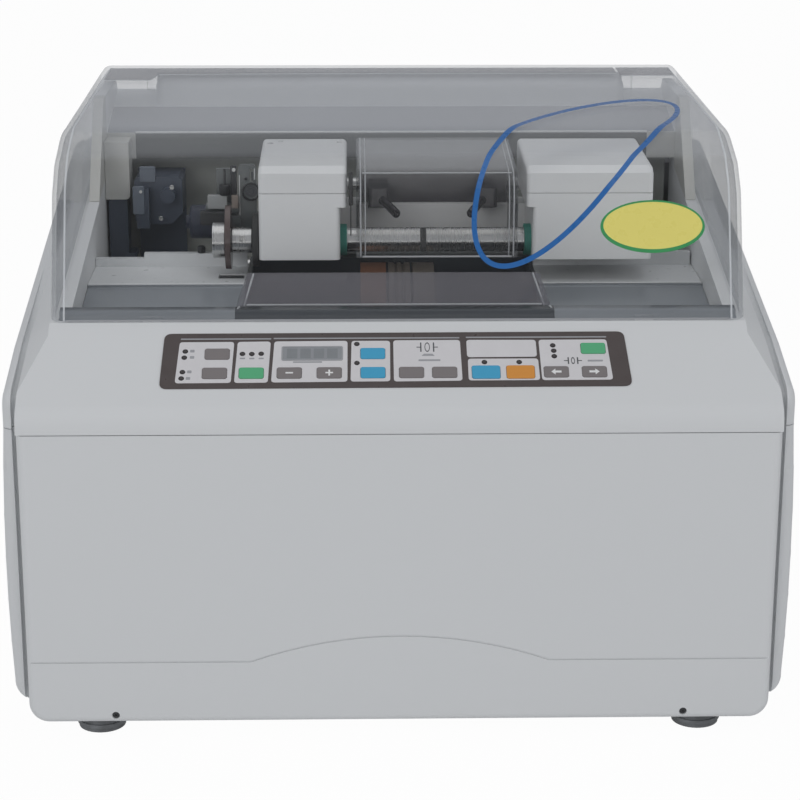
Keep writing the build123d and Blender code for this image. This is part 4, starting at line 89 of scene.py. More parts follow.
# ---- finishes -----------------------------------------------------------------
class Nodes:
    """Small helper that adds and joins the nodes of one material."""

    def __init__(self, name: str) -> None:
        """Start an empty node material.

        Args:
            name: Name of the material.
        """
        self.material = bpy.data.materials.new(name)
        self.material.use_nodes = True
        self.tree = self.material.node_tree
        self.tree.nodes.clear()
        self.output = self.tree.nodes.new("ShaderNodeOutputMaterial")

    def add(self, kind: str, **values: object) -> bpy.types.Node:
        """Add a node and set its properties and sockets.

        Args:
            kind: Node type without the ShaderNode prefix.
            **values: Properties by attribute name, or sockets by name with _ for a space.

        Returns:
            The new node.
        """
        node = self.tree.nodes.new("ShaderNode" + kind)
        for key, value in values.items():
            if hasattr(node, key) and key != "Color":
                setattr(node, key, value)
            else:
                self.feed(node, key.replace("_", " "), value)
        return node

    def feed(self, node: bpy.types.Node, socket: str, value: object) -> None:
        """Set an input socket to a value, or link another socket to it.

        Args:
            node: Node that owns the socket.
            socket: Name of the input socket.
            value: Number, colour or output socket.
        """
        target = node.inputs[socket]
        if isinstance(value, bpy.types.NodeSocket):
            self.tree.links.new(value, target)
        elif isinstance(value, tuple) and len(value) == 3 and target.type == "RGBA":
            target.default_value = (*value, 1.0)
        else:
            target.default_value = value

    def noise(self, scale: float, detail: float = 2.0, stretch: Optional[Point] = None,
              rough: float = 0.5) -> bpy.types.NodeSocket:
        """Add noise in the row frame, so that it keeps its scale on every piece.

        Args:
            scale: Blobs per metre.
            detail: Octaves of noise.
            stretch: Factors along X, Y and Z.
            rough: Share of each finer octave.

        Returns:
            The noise's value socket.
        """
        where = self.add("TexCoord").outputs["Object"]
        if stretch:
            where = self.add("Mapping", Vector=where, Scale=stretch).outputs["Vector"]
        made = self.add("TexNoise", Vector=where, Scale=scale, Detail=detail, Roughness=rough)
        return made.outputs["Fac"]

    def span(self, value: bpy.types.NodeSocket, low: float, high: float,
             start: float = 0.3, end: float = 0.7) -> bpy.types.NodeSocket:
        """Map a value onto a range.

        Args:
            value: Socket to read.
            low: Result at start.
            high: Result at end.
            start: Value that gives low.
            end: Value that gives high.

        Returns:
            The mapped value socket.
        """
        node = self.add("MapRange", Value=value, From_Min=start, From_Max=end, To_Min=low,
                        To_Max=high)
        return node.outputs["Result"]

    def blend(self, value: bpy.types.NodeSocket, first: object, second: object
              ) -> bpy.types.NodeSocket:
        """Blend two colours by a value.

        Args:
            value: Blend socket, 0 for the first colour.
            first: Colour or colour socket at 0.
            second: Colour or colour socket at 1.

        Returns:
            The colour socket.
        """
        mix = self.add("Mix", data_type="RGBA", clamp_factor=True)
        self.tree.links.new(value, mix.inputs[0])
        for index, colour in ((6, first), (7, second)):
            if isinstance(colour, tuple):
                mix.inputs[index].default_value = (*colour, 1.0)
            else:
                self.tree.links.new(colour, mix.inputs[index])
        return mix.outputs[2]

    def calc(self, operation: str, first: bpy.types.NodeSocket, second: object = None
             ) -> bpy.types.NodeSocket:
        """Add a maths node.

        Args:
            operation: Blender's name of the operation.
            first: First input.
            second: Second input as a socket or number, where the operation takes one.

        Returns:
            The result socket.
        """
        node = self.add("Math", operation=operation)
        self.tree.links.new(first, node.inputs[0])
        if isinstance(second, bpy.types.NodeSocket):
            self.tree.links.new(second, node.inputs[1])
        elif second is not None:
            node.inputs[1].default_value = second
        return node.outputs[0]

    def layer(self, share: bpy.types.NodeSocket, under: bpy.types.Node, over: bpy.types.Node
              ) -> bpy.types.NodeSocket:
        """Lay one shader over another.

        Args:
            share: Share of the upper shader.
            under: Shader node at 0.
            over: Shader node at 1.

        Returns:
            The mixed shader's socket.
        """
        mix = self.add("MixShader")
        for socket, source in zip(mix.inputs, (share, under.outputs[0], over.outputs[0])):
            self.tree.links.new(source, socket)
        return mix.outputs[0]

    def normal(self, height: bpy.types.NodeSocket, depth_mm: float, edge_mm: float = 0.0
               ) -> bpy.types.NodeSocket:
        """Give a bump normal, over slightly rounded edges if asked.

        Args:
            height: Height socket from 0 to 1.
            depth_mm: Depth of the relief.
            edge_mm: Radius that sharp edges are shaded with.

        Returns:
            The normal socket.
        """
        bump = self.add("Bump", Strength=1.0, Distance=depth_mm * MM, Height=height)
        if edge_mm:
            edge = self.add("Bevel", samples=4, Radius=edge_mm * MM)
            self.tree.links.new(edge.outputs["Normal"], bump.inputs["Normal"])
        return bump.outputs["Normal"]

    def surface(self, colour: bpy.types.NodeSocket, rough: bpy.types.NodeSocket,
                normal: bpy.types.NodeSocket, metal: float = 0.0) -> bpy.types.Material:
        """Finish the material as one opaque surface.

        Args:
            colour: Colour socket.
            rough: Roughness socket.
            normal: Normal socket.
            metal: Share of metal.

        Returns:
            The finished material.
        """
        shader = self.add("BsdfPrincipled", Base_Color=colour, Metallic=metal, Roughness=rough,
                          Normal=normal)
        return self.finish(shader.outputs[0])

    def finish(self, shader: bpy.types.NodeSocket) -> bpy.types.Material:
        """Join the shader to the output and return the material.

        Args:
            shader: Socket of the whole surface.

        Returns:
            The finished material.
        """
        self.tree.links.new(shader, self.output.inputs["Surface"])
        return self.material


def varied(colour: Colour, share: float) -> Colour:
    """Scale a colour's brightness.

    Args:
        colour: Linear colour.
        share: Factor, 1 for no change.

    Returns:
        The scaled colour.
    """
    return tuple(min(1.0, c * share) for c in colour)


@dataclass(frozen=True)
class Finish:
    """A named surface; each kind builds its own nodes."""

    name: str

    def material(self) -> bpy.types.Material:
        """Build the material once and reuse it.

        Returns:
            The Blender material of this finish.
        """
        return bpy.data.materials.get(self.name) or self.build()

    def build(self) -> bpy.types.Material:
        """Make the nodes.

        Returns:
            The new material.
        """
        raise NotImplementedError


@dataclass(frozen=True)
class Moulding(Finish):
    """Moulded plastic: fine spark texture, faint flow clouding, handled edges."""

    colour: Colour = (0.5, 0.5, 0.5)
    gloss: float = 0.42
    grain: float = 900.0
    relief_mm: float = 0.03
    clouding: float = 0.035
    edge_mm: float = 0.5

    def build(self) -> bpy.types.Material:
        """Make the nodes.

        Returns:
            The new material.
        """
        n = Nodes(self.name)
        cloud = n.span(n.noise(7.0, 4.0), 0.0, 1.0)
        colour = n.blend(cloud, varied(self.colour, 1 - self.clouding),
                         varied(self.colour, 1 + self.clouding))
        rough = n.span(n.noise(60.0, 5.0), self.gloss - 0.05, self.gloss + 0.07)
        normal = n.normal(n.noise(self.grain, 2.0), self.relief_mm, self.edge_mm)
        return n.surface(colour, rough, normal)


@dataclass(frozen=True)
class Enamel(Finish):
    """Stoved paint on sheet or cast metal, with a faint orange peel."""

    colour: Colour = (0.5, 0.5, 0.5)
    gloss: float = 0.35
    peel_mm: float = 0.03
    soiling: float = 0.12

    def build(self) -> bpy.types.Material:
        """Make the nodes.

        Returns:
            The new material.
        """
        n = Nodes(self.name)
        soil = n.span(n.noise(28.0, 6.0, rough=0.62), 0.0, 1.0)
        colour = n.blend(soil, varied(self.colour, 1 - self.soiling),
                         varied(self.colour, 1 + self.soiling * 0.4))
        rough = n.span(n.noise(110.0, 4.0), self.gloss - 0.06, self.gloss + 0.12)
        normal = n.normal(n.noise(420.0, 2.0), self.peel_mm, 0.4)
        return n.surface(colour, rough, normal)


@dataclass(frozen=True)
class Machined(Finish):
    """Bare metal with tool marks along one direction."""

    colour: Colour = (0.6, 0.6, 0.62)
    gloss: float = 0.28
    marks: Point = (1.0, 0.06, 0.06)
    pitch: float = 2200.0
    stain: float = 0.2
    metal: float = 1.0
    relief_mm: float = 0.008
    spread: float = 0.1
    edge_mm: float = 0.25

    def build(self) -> bpy.types.Material:
        """Make the nodes.

        Returns:
            The new material.
        """
        n = Nodes(self.name)
        lines = n.noise(self.pitch, 3.0, self.marks)
        stains = n.span(n.noise(45.0, 5.0, rough=0.6), 0.0, 1.0)
        colour = n.blend(stains, varied(self.colour, 1 - self.stain), self.colour)
        rough = n.span(lines, self.gloss - self.spread * 0.5, self.gloss + self.spread)
        normal = n.normal(lines, self.relief_mm, self.edge_mm)
        return n.surface(colour, rough, normal, self.metal)


@dataclass(frozen=True)
class Rubber(Finish):
    """Matt rubber with a dusty bloom."""

    colour: Colour = (0.03, 0.03, 0.03)
    gloss: float = 0.72

    def build(self) -> bpy.types.Material:
        """Make the nodes.

        Returns:
            The new material.
        """
        n = Nodes(self.name)
        bloom = n.span(n.noise(75.0, 5.0), 0.0, 1.0, 0.42, 0.75)
        colour = n.blend(bloom, self.colour, varied(self.colour, 1.9))
        rough = n.span(n.noise(300.0, 3.0), self.gloss - 0.08, self.gloss + 0.1)
        normal = n.normal(n.noise(1500.0, 2.0), 0.03, 0.3)
        return n.surface(colour, rough, normal)


@dataclass(frozen=True)
class Grit(Finish):
    """Sintered diamond rim: coarse sparkling grit in a metal bond."""

    colour: Colour = (0.3, 0.27, 0.24)
    grit: float = 2600.0
    relief_mm: float = 0.15
    metal: float = 0.35

    def build(self) -> bpy.types.Material:
        """Make the nodes.

        Returns:
            The new material.
        """
        n = Nodes(self.name)
        where = n.add("TexCoord").outputs["Object"]
        cells = n.add("TexVoronoi", Vector=where, Scale=self.grit).outputs["Distance"]
        colour = n.blend(n.span(cells, 0.0, 1.0, 0.1, 0.6), varied(self.colour, 0.6),
                         varied(self.colour, 1.4))
        rough = n.span(cells, 0.35, 0.75, 0.0, 0.7)
        return n.surface(colour, rough, n.normal(cells, self.relief_mm), self.metal)


@dataclass(frozen=True)
class ClearSheet(Finish):
    """Clear acrylic wall: see-through, tinted, glossy at grazing angles, faint haze; walls facing
    left or right take a haze colour of their own, darker by default, as painted shade.
    """

    tint: Colour = (0.9, 0.93, 0.95)
    haze: float = 0.05
    haze_colour: Colour = (0.6, 0.65, 0.7)
    mirror: float = 0.04
    # haze colour of walls facing left or right: painted shade
    side_shade: Colour = (0.3, 0.32, 0.35)
    edge: float = 0.5
    gloss: float = 0.06
    falloff: float = 2.5
    index: float = 1.49

    def build(self) -> bpy.types.Material:
        """Make the nodes.

        Returns:
            The new material.
        """
        n = Nodes(self.name)
        smears = n.noise(9.0, 6.0, rough=0.6)
        wave = n.normal(n.noise(16.0, 1.0), 0.12)
        facing = n.add("LayerWeight", Blend=0.5, Normal=wave).outputs["Facing"]
        edge = n.calc("POWER", facing, self.falloff)
        share = n.span(edge, self.haze + self.mirror, self.edge, 0.0, 1.0)
        rough = n.span(smears, self.gloss, self.gloss + 0.08)
        split = n.add("SeparateXYZ", Vector=n.add("TexCoord").outputs["Normal"])
        side = n.calc("ABSOLUTE", split.outputs["X"])
        # painted shade: the haze colour turns to the side colour on walls facing left or right
        haze = n.blend(side, self.haze_colour, self.side_shade)
        body = n.add("BsdfPrincipled", Base_Color=haze, Roughness=rough, Normal=wave,
                     IOR=self.index)
        clear = n.add("BsdfTransparent", Color=self.tint)
        return n.finish(n.layer(share, clear, body))


@dataclass(frozen=True)
class Print(Finish):
    """Satin printed film, slightly worn where fingers pass."""

    colour: Colour = (0.7, 0.7, 0.7)
    gloss: float = 0.38
    wear: float = 0.05

    def build(self) -> bpy.types.Material:
        """Make the nodes.

        Returns:
            The new material.
        """
        n = Nodes(self.name)
        worn = n.span(n.noise(90.0, 6.0, rough=0.65), 0.0, 1.0)
        colour = n.blend(worn, varied(self.colour, 1 - self.wear),
                         varied(self.colour, 1 + self.wear))
        rough = n.span(n.noise(160.0, 4.0), self.gloss - 0.07, self.gloss + 0.08)
        normal = n.normal(n.noise(1600.0, 2.0), 0.012)
        return n.surface(colour, rough, normal)


@dataclass(frozen=True)
class RearMoulding(Finish):
    """Rear cover: pale hinge pod, greyer deck, and a front face whose dark colour is painted
    shade, darker still towards its foot.
    """

    pod: Colour = (0.5, 0.5, 0.5)
    deck: Colour = (0.3, 0.3, 0.3)
    # front face's colour, darkened as painted shade
    face: Colour = (0.1, 0.1, 0.1)
    post: Colour = (0.6, 0.6, 0.57)
    face_half: float = 0.205
    fence_half: float = 0.2275
    pod_y: float = 0.1655
    face_y: float = 0.1104
    # face_top and face_low: span over which painted shade darkens the front face towards its foot
    face_top: float = 0.366
    face_low: float = 0.339
    seam: float = 0.0003
    pod_seam: float = 0.0004
    gloss: float = 0.38

    def build(self) -> bpy.types.Material:
        """Make the nodes.

        Returns:
            The new material.
        """
        n = Nodes(self.name)
        split = n.add("SeparateXYZ", Vector=n.add("TexCoord").outputs["Object"])
        cloud = n.span(n.noise(7.0, 4.0), 0.0, 1.0)
        deck, pod, post = (n.blend(cloud, varied(colour, share), colour) for colour, share in (
            (self.deck, 0.96), (self.pod, 0.97), (self.post, 0.97)))
        behind = n.span(split.outputs["Y"], 0.0, 1.0, self.pod_y - self.pod_seam,
                        self.pod_y)
        base = n.blend(behind, deck, pod)
        # painted shade: the front face falls to an eighth of its colour towards its foot
        shade_fall = n.span(split.outputs["Z"], 0.0, 1.0, self.face_low, self.face_top)
        face = n.blend(shade_fall, varied(self.face, 0.12), self.face)
        front = n.span(split.outputs["Y"], 1.0, 0.0, self.face_y, self.face_y + self.seam)
        side = n.calc("ABSOLUTE", split.outputs["X"])
        middle = n.span(side, 1.0, 0.0, self.face_half, self.face_half + self.seam)
        fence = n.span(side, 0.0, 1.0, self.fence_half, self.fence_half + self.seam)
        colour = n.blend(front, n.blend(fence, base, pod), n.blend(middle, post, face))
        rough = n.span(n.noise(60.0, 5.0), self.gloss - 0.05, self.gloss + 0.07)
        normal = n.normal(n.noise(900.0, 2.0), 0.03, 0.5)
        return n.surface(colour, rough, normal)


CASING = Moulding("casing_plastic", colour=grey("C2C4C6"), gloss=0.45)
HEAD_COVER = Moulding("head_cover_plastic", colour=grey("E9EAEA"), gloss=0.4, edge_mm=0.8)
# the rear cover's dark face colour is painted shade
REAR_HOUSING = RearMoulding("rear_housing_plastic", pod=grey("F0F2F4"), deck=grey("8C8F96"),
                            face=grey("4C4F4A"))
PANEL = Print("panel_film", colour=grey("453B3A"), gloss=0.34)
SEGMENT = Print("segment_film", colour=grey("D8D6D8"), gloss=0.4, wear=0.02)
KEY_DARK = Print("key_dark", colour=grey("4A4646"), gloss=0.36)
KEY_GREEN = Print("key_green", colour=grey("2BA36B"), gloss=0.36)
KEY_BLUE = Print("key_blue", colour=grey("2C9CCB"), gloss=0.36)
KEY_ORANGE = Print("key_orange", colour=grey("D8842A"), gloss=0.36)
LCD = Print("display_glass", colour=grey("8C8F93"), gloss=0.16)
LCD_CELL = Print("display_cells", colour=grey("7E8286"), gloss=0.14)
LAMP = Print("lamp_lens", colour=grey("2C2628"), gloss=0.2)
INK_DARK = Print("ink_dark", colour=grey("4A4C50"), gloss=0.4)
INK_GREY = Print("ink_grey", colour=grey("9FA0A4"), gloss=0.4)
INK_WHITE = Print("ink_white", colour=grey("E8E8E8"), gloss=0.4)
RING_BLUE = Print("ring_blue", colour=grey("2468AE"), gloss=0.3)
OVAL_YELLOW = Print("oval_yellow", colour=grey("F0E47C"), gloss=0.3, wear=0.01)
OVAL_GREEN = Print("oval_green", colour=grey("3C9A5C"), gloss=0.3)
HOOD_CLEAR = ClearSheet("hood_acrylic", tint=(0.993, 0.994, 0.995), haze=0.006, mirror=0.008,
                        edge=0.72, haze_colour=(0.6, 0.62, 0.65))
BAND_CLEAR = ClearSheet("frosted_band", tint=(0.9, 0.9, 0.91), haze=0.42, mirror=0.02,
                        edge=0.6, haze_colour=(0.5, 0.51, 0.53), side_shade=(0.5, 0.51, 0.53))
# pale see-through strips laid along edges, creases and fold lines as painted highlight
EDGE_HIGHLIGHT = ClearSheet("painted_edge_highlight", tint=(0.96, 0.97, 0.98), haze=0.45, mirror=0.02,
                        edge=0.7, haze_colour=(0.86, 0.88, 0.9), side_shade=(0.7, 0.72, 0.75))
GUARD_CLEAR = ClearSheet("guard_acrylic", tint=(0.993, 0.994, 0.995), haze=0.01, mirror=0.015,
                         edge=0.6, haze_colour=(0.75, 0.76, 0.77))
WINDOW_CLEAR = ClearSheet("window_acrylic", tint=(0.8, 0.8, 0.81), haze=0.26, mirror=0.03,
                          edge=0.5, haze_colour=(0.33, 0.32, 0.35))
TRAY = Moulding("tray_enamel", colour=grey("8A8F94"), gloss=0.2, relief_mm=0.01, clouding=0.08)
DECK = Enamel("deck_enamel", colour=grey("D8DADB"), gloss=0.32, peel_mm=0.004, soiling=0.02)
CHAMBER = Moulding("chamber_plastic", colour=grey("45494E"), gloss=0.2, clouding=0.12)
FRAME_PAINT = Enamel("frame_enamel", colour=grey("B2B4AE"), gloss=0.4)
SHEET_GREY = Enamel("rear_sheet_enamel", colour=grey("A4A7A6"), gloss=0.42)
HEAD_ENAMEL = Enamel("head_frame_enamel", colour=grey("EFEFEE"), gloss=0.4, soiling=0.04)
CASTING = Machined("head_casting", colour=(0.42, 0.43, 0.45), gloss=0.42, pitch=700.0, metal=0.7)
STEEL = Machined("ground_steel", colour=(0.64, 0.64, 0.63), gloss=0.26, pitch=500.0,
                 relief_mm=0.0002, spread=0.03, edge_mm=0.0)
CHROME = Machined("polished_chrome", colour=(0.7, 0.7, 0.7), gloss=0.2, pitch=500.0,
                  stain=0.1, relief_mm=0.0002, spread=0.03, edge_mm=0.0)
ZINC = Machined("zinc_sheet", colour=(0.5, 0.51, 0.52), gloss=0.4, marks=(0.1, 1.0, 1.0),
                pitch=900.0)
WHEEL_BROWN = Grit("wheel_fine_rim", colour=grey("6E4A34"))
WHEEL_DARK = Grit("wheel_rough_rim", colour=grey("5B544C"), grit=1500.0)
BLACK_PLASTIC = Moulding("black_moulding", colour=grey("232426"), gloss=0.34, clouding=0.12)
WHITE_NYLON = Moulding("white_nylon", colour=grey("E4E4E2"), gloss=0.4, edge_mm=0.2)
GREY_NYLON = Moulding("grey_nylon", colour=grey("9A9C9C"), gloss=0.4, edge_mm=0.2)
GAUGE_GREY = Moulding("gauge_laminate", colour=grey("666A6A"), gloss=0.32, edge_mm=0.2)
TAUPE = Moulding("taupe_laminate", colour=grey("8B8078"), gloss=0.4, edge_mm=0.2)
MOTOR_BLUE = Enamel("motor_blue_enamel", colour=grey("262C3C"), gloss=0.35)
BRACKET_BLUE = Enamel("bracket_blue_enamel", colour=grey("4A5260"), gloss=0.4)
BLOCK_BLUE = Enamel("block_blue_enamel", colour=grey("727A86"), gloss=0.4)
MOTOR_BLACK = Enamel("motor_black_enamel", colour=grey("25262A"), gloss=0.4)
FORMER = Moulding("former_plastic", colour=grey("5A4E4C"), gloss=0.16)
SCREEN = Moulding("screen_plastic", colour=grey("262128"), gloss=0.16, relief_mm=0.001)
SEAL_GREEN = Rubber("seal_green", colour=grey("12382E"), gloss=0.5)
RUBBER = Rubber("black_rubber")
FOOT_RUBBER = Rubber("foot_rubber", colour=grey("66686A"))
BOARD = Print("circuit_board", colour=grey("1E6B3C"), gloss=0.3)

CAD_FINISHES: dict[str, Finish] = {
    "base_plate": ZINC, "feet": FOOT_RUBBER, "lower_casing": CASING, "upper_casing": CASING,
    "rear_panel": SHEET_GREY, "rear_cover": REAR_HOUSING, "console_panel": PANEL,
    "drip_tray": TRAY, "deck_plates": DECK, "splash_window": WINDOW_CLEAR,
    "chamber_tub": CHAMBER, "chassis": FRAME_PAINT, "carriage_rails": STEEL,
    "traverse_drive": BRACKET_BLUE, "spindle_housing": CASTING, "wheel_motor": MOTOR_BLACK,
    "wheel_belt": RUBBER, "control_board": BOARD, "power_inlet": BLACK_PLASTIC,
    "hood": HOOD_CLEAR, "hood_hinge_lugs": HOOD_CLEAR, "carriage": CASTING,
    "head_frame": HEAD_ENAMEL, "left_cover": HEAD_COVER, "left_cap": HEAD_COVER,
    "right_cover": HEAD_COVER, "right_cap": HEAD_COVER, "lens_guard": GUARD_CLEAR,
    "coolant_nozzles": SCREEN, "shaft_seals": SEAL_GREEN, "gauge_plate": GAUGE_GREY,
    "size_motor": MOTOR_BLUE, "sync_belts": RUBBER, "lens_shaft_left": STEEL,
    "former_disc": FORMER, "clamp_yoke": CASTING, "lens_shaft_right": STEEL,
    "clamp_pad": RUBBER, "lens_pulley_right": CASTING, "sync_shaft": STEEL,
    "wheel_spindle": STEEL, "roughing_wheel": WHEEL_BROWN, "finishing_wheels": WHEEL_DARK,
    "motor_pulley": CASTING, "former_rest": BLACK_PLASTIC, "switch_rocker": BLACK_PLASTIC,
    "key_set": KEY_GREEN, "key_chuck": KEY_GREEN, "key_test": KEY_BLUE,
    "key_water": KEY_BLUE, "key_start": KEY_BLUE, "key_stop": KEY_ORANGE,
}


# ---- meshes -------------------------------------------------------------------
class Sketch:
    """Makes mesh pieces from outlines and puts them in place."""

    @staticmethod
    def piece(name: str, mesh: bpy.types.Mesh, finish: Finish, body: Body) -> bpy.types.Object:
        """Turn a mesh into a finished piece that rides on a body.

        Args:
            name: Name of the piece.
            mesh: Mesh in the row frame.
            finish: Its surface.
            body: Body that it rides on.

        Returns:
            The new object.
        """
        mesh.name = name
        item = bpy.data.objects.new(name, mesh)
        bpy.context.scene.collection.objects.link(item)
        mesh.materials.clear()
        mesh.materials.append(finish.material())
        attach(item, body.value)
        return item

    @staticmethod
    def plate(outlines: Sequence[Sequence[Pair]], thickness: float,
              where: Matrix, bevel: float = 0.0) -> bpy.types.Mesh:
        """Fill outlines, the inner ones as holes, and give them a thickness.

        Args:
            outlines: Closed outlines in mm.
            thickness: Thickness in mm, above the outlines' plane.
            where: Matrix of the plane in the row frame, in metres.
            bevel: Rounding of the rims, in mm.

        Returns:
            The mesh in the row frame.
        """
        curve = bpy.data.curves.new("outline", "CURVE")
        curve.dimensions = "2D"
        curve.fill_mode = "BOTH"
        for points in outlines:
            line = curve.splines.new("POLY")
            line.points.add(len(points) - 1)
            for spot, (x, y) in zip(line.points, points):
                spot.co = (x * MM, y * MM, 0.0, 1.0)
            line.use_cyclic_u = True
        curve.extrude = max(thickness / 2 - bevel, 0.0) * MM
        curve.bevel_depth = bevel * MM
        curve.offset = -bevel * MM
        curve.bevel_resolution = 2
        holder = bpy.data.objects.new("outline", curve)
        mesh = bpy.data.meshes.new_from_object(holder)
        bpy.data.objects.remove(holder)
        mesh.transform(where @ Matrix.Translation((0, 0, thickness / 2 * MM)))
        return mesh

    @staticmethod
    def turned(profile: Sequence[Pair], where: Matrix, steps: int = 48
               ) -> bpy.types.Mesh:
        """Turn a profile around the local Z axis.

        Args:
            profile: Points of (radius, height) in mm.
            where: Matrix of the axis in the row frame, in metres.
            steps: Segments around.

        Returns:
            The mesh in the row frame.
        """
        made = bmesh.new()
        rings = []
        for radius, height in profile:
            if radius < 1e-6:
                rings.append([made.verts.new((0, 0, height * MM))])
                continue
            ring = [made.verts.new((radius * MM * math.cos(math.tau * i / steps),
                                    radius * MM * math.sin(math.tau * i / steps), height * MM))
                    for i in range(steps)]
            rings.append(ring)
        for low, high in zip(rings, rings[1:]):
            for i in range(steps):
                j = (i + 1) % steps
                corners = [low[i % len(low)], low[j % len(low)], high[j % len(high)],
                           high[i % len(high)]]
                corners = list(dict.fromkeys(corners))
                if len(corners) > 2:
                    made.faces.new(corners)
        mesh = bpy.data.meshes.new("turned")
        bmesh.ops.recalc_face_normals(made, faces=made.faces)
        made.to_mesh(mesh)
        made.free()
        mesh.transform(where)
        mesh.shade_smooth()
        mesh.set_sharp_from_angle(angle=math.radians(35))
        return mesh


def tube(points: Sequence[Vector], radius: float, side: Vector, steps: int = 10
         ) -> bpy.types.Mesh:
    """Sweep a round strip along a flat path.

    Args:
        points: Path in the row frame, in metres.
        radius: Radius in mm.
        side: Direction across the path's plane.
        steps: Segments around.

    Returns:
        The mesh in the row frame.
    """
    made = bmesh.new()
    rings = []
    for i, spot in enumerate(points):
        run = (points[min(i + 1, len(points) - 1)] - points[max(i - 1, 0)]).normalized()
        up = run.cross(side).normalized()
        rings.append([made.verts.new(spot + (side * math.cos(math.tau * k / steps)
                                             + up * math.sin(math.tau * k / steps))
                                     * radius * MM) for k in range(steps)])
    for low, high in zip(rings, rings[1:]):
        for k in range(steps):
            j = (k + 1) % steps
            made.faces.new((low[k], low[j], high[j], high[k]))
    made.faces.new(rings[0])
    made.faces.new(rings[-1])
    bmesh.ops.recalc_face_normals(made, faces=made.faces)
    mesh = bpy.data.meshes.new("tube")
    made.to_mesh(mesh)
    made.free()
    mesh.shade_smooth()
    mesh.set_sharp_from_angle(angle=math.radians(50))
    return mesh


def rounded_box(x: float, y: float, width: float, height: float, radius: float,
                steps: int = 5) -> list[Pair]:
    """Outline of a rectangle with round corners.

    Args:
        x: Middle along X, in mm.
        y: Middle along Y, in mm.
        width: Size along X.
        height: Size along Y.
        radius: Corner radius.
        steps: Segments per corner.

    Returns:
        The outline's points.
    """
    radius = min(radius, width / 2, height / 2)
    points = []
    corners = ((1, 1, 0), (-1, 1, 90), (-1, -1, 180), (1, -1, 270))
    for sx, sy, start in corners:
        cx, cy = x + sx * (width / 2 - radius), y + sy * (height / 2 - radius)
        for i in range(steps + 1):
            angle = math.radians(start + 90 * i / steps)
            points.append((cx + radius * math.cos(angle), cy + radius * math.sin(angle)))
    return points


def circle(x: float, y: float, radius: float, steps: int = 24,
           squash: float = 1.0) -> list[Pair]:
    """Outline of a circle or upright ellipse.

    Args:
        x: Middle along X.
        y: Middle along Y.
        radius: Radius along X.
        steps: Number of points.
        squash: Radius along Y as a share of that along X.

    Returns:
        The outline's points.
    """
    return [(x + radius * math.cos(math.tau * i / steps),
             y + radius * squash * math.sin(math.tau * i / steps)) for i in range(steps)]


def plane_at(origin: Vector, right: Vector, up: Vector) -> Matrix:
    """Matrix of a plane from its origin and two directions.

    Args:
        origin: Point on the plane.
        right: Local X direction.
        up: Local Y direction.

    Returns:
        The plane's matrix.
    """
    x = right.normalized()
    z = x.cross(up).normalized()
    y = z.cross(x)
    made = Matrix((x, y, z)).transposed().to_4x4()
    made.translation = origin
    return made


def rounded_shape(corners: Sequence[Pair], radius: float, steps: int = 5) -> list[Pair]:
    """Round the corners of a convex outline.

    Args:
        corners: Corner points in order.
        radius: Corner radius in mm.
        steps: Segments per corner.

    Returns:
        The outline's points.
    """
    points = []
    for i, corner in enumerate(corners):
        here = Vector(corner)
        back = (Vector(corners[i - 1]) - here).normalized()
        ahead = (Vector(corners[(i + 1) % len(corners)]) - here).normalized()
        half = back.angle(ahead) / 2
        run = radius / math.tan(half)
        start, end = here + back * run, here + ahead * run
        for k in range(steps + 1):
            t = k / steps
            spot = start * (1 - t) ** 2 + here * 2 * t * (1 - t) + end * t ** 2
            points.append((spot.x, spot.y))
    return points


def axis_x(x: float, y: float, z: float) -> Matrix:
    """Matrix at a point in mm behind the front wall, with its Z axis to the right."""
    return plane_at(place(x, y, z), Vector((0, 1, 0)), Vector((0, 0, 1)))


def facing_front(x: float, y: float, z: float) -> Matrix:
    """Matrix at a point in mm behind the front wall, with its Z axis to the front."""
    return plane_at(place(x, y, z), Vector((1, 0, 0)), Vector((0, 0, 1)))


def facing_up(x: float, y: float, z: float) -> Matrix:
    """Matrix at a point in mm behind the front wall, with its Z axis upwards."""
    return plane_at(place(x, y, z), Vector((1, 0, 0)), Vector((0, 1, 0)))


def facing_back(x: float, y: float, z: float) -> Matrix:
    """Matrix at a point in mm behind the front wall, with its Z axis to the back."""
    return plane_at(place(x, y, z), Vector((-1, 0, 0)), Vector((0, 0, 1)))


def barrel(radius: float, length: float, chamfer: float = 0.5) -> tuple[Pair, ...]:
    """Profile of a short turned part with chamfered ends.

    Args:
        radius: Outer radius in mm.
        length: Length in mm.
        chamfer: Size of the end chamfers.

    Returns:
        Points of (radius, height).
    """
    return ((0.0, 0.0), (radius - chamfer, 0.0), (radius, chamfer), (radius, length - chamfer),
            (radius - chamfer, length), (0.0, length))


def screw_head(radius: float, height: float) -> tuple[Pair, ...]:
    """Profile of a socket screw's head with its recess.

    Args:
        radius: Radius of the head in mm.
        height: Height of the head in mm.

    Returns:
        Points of (radius, height).
    """
    return ((0.0, height * 0.45), (radius * 0.5, height * 0.45), (radius * 0.5, height * 0.97),
            (radius * 0.85, height), (radius, height * 0.8), (radius, 0.0))


# ---- sub-assemblies -------------------------------------------------------------
@dataclass
class CadSurfaces:
    """Gives every solid its finish."""

    finishes: dict[str, Finish] = field(default_factory=lambda: dict(CAD_FINISHES))

    def dress(self) -> None:
        """Put the finishes on the solids."""
        for name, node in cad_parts.items():
            finish = self.finishes.get(name, KEY_DARK)
            for slot in node.material_slots:
                slot.material = finish.material()
        LOG.info("solids: %d dressed", len(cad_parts))


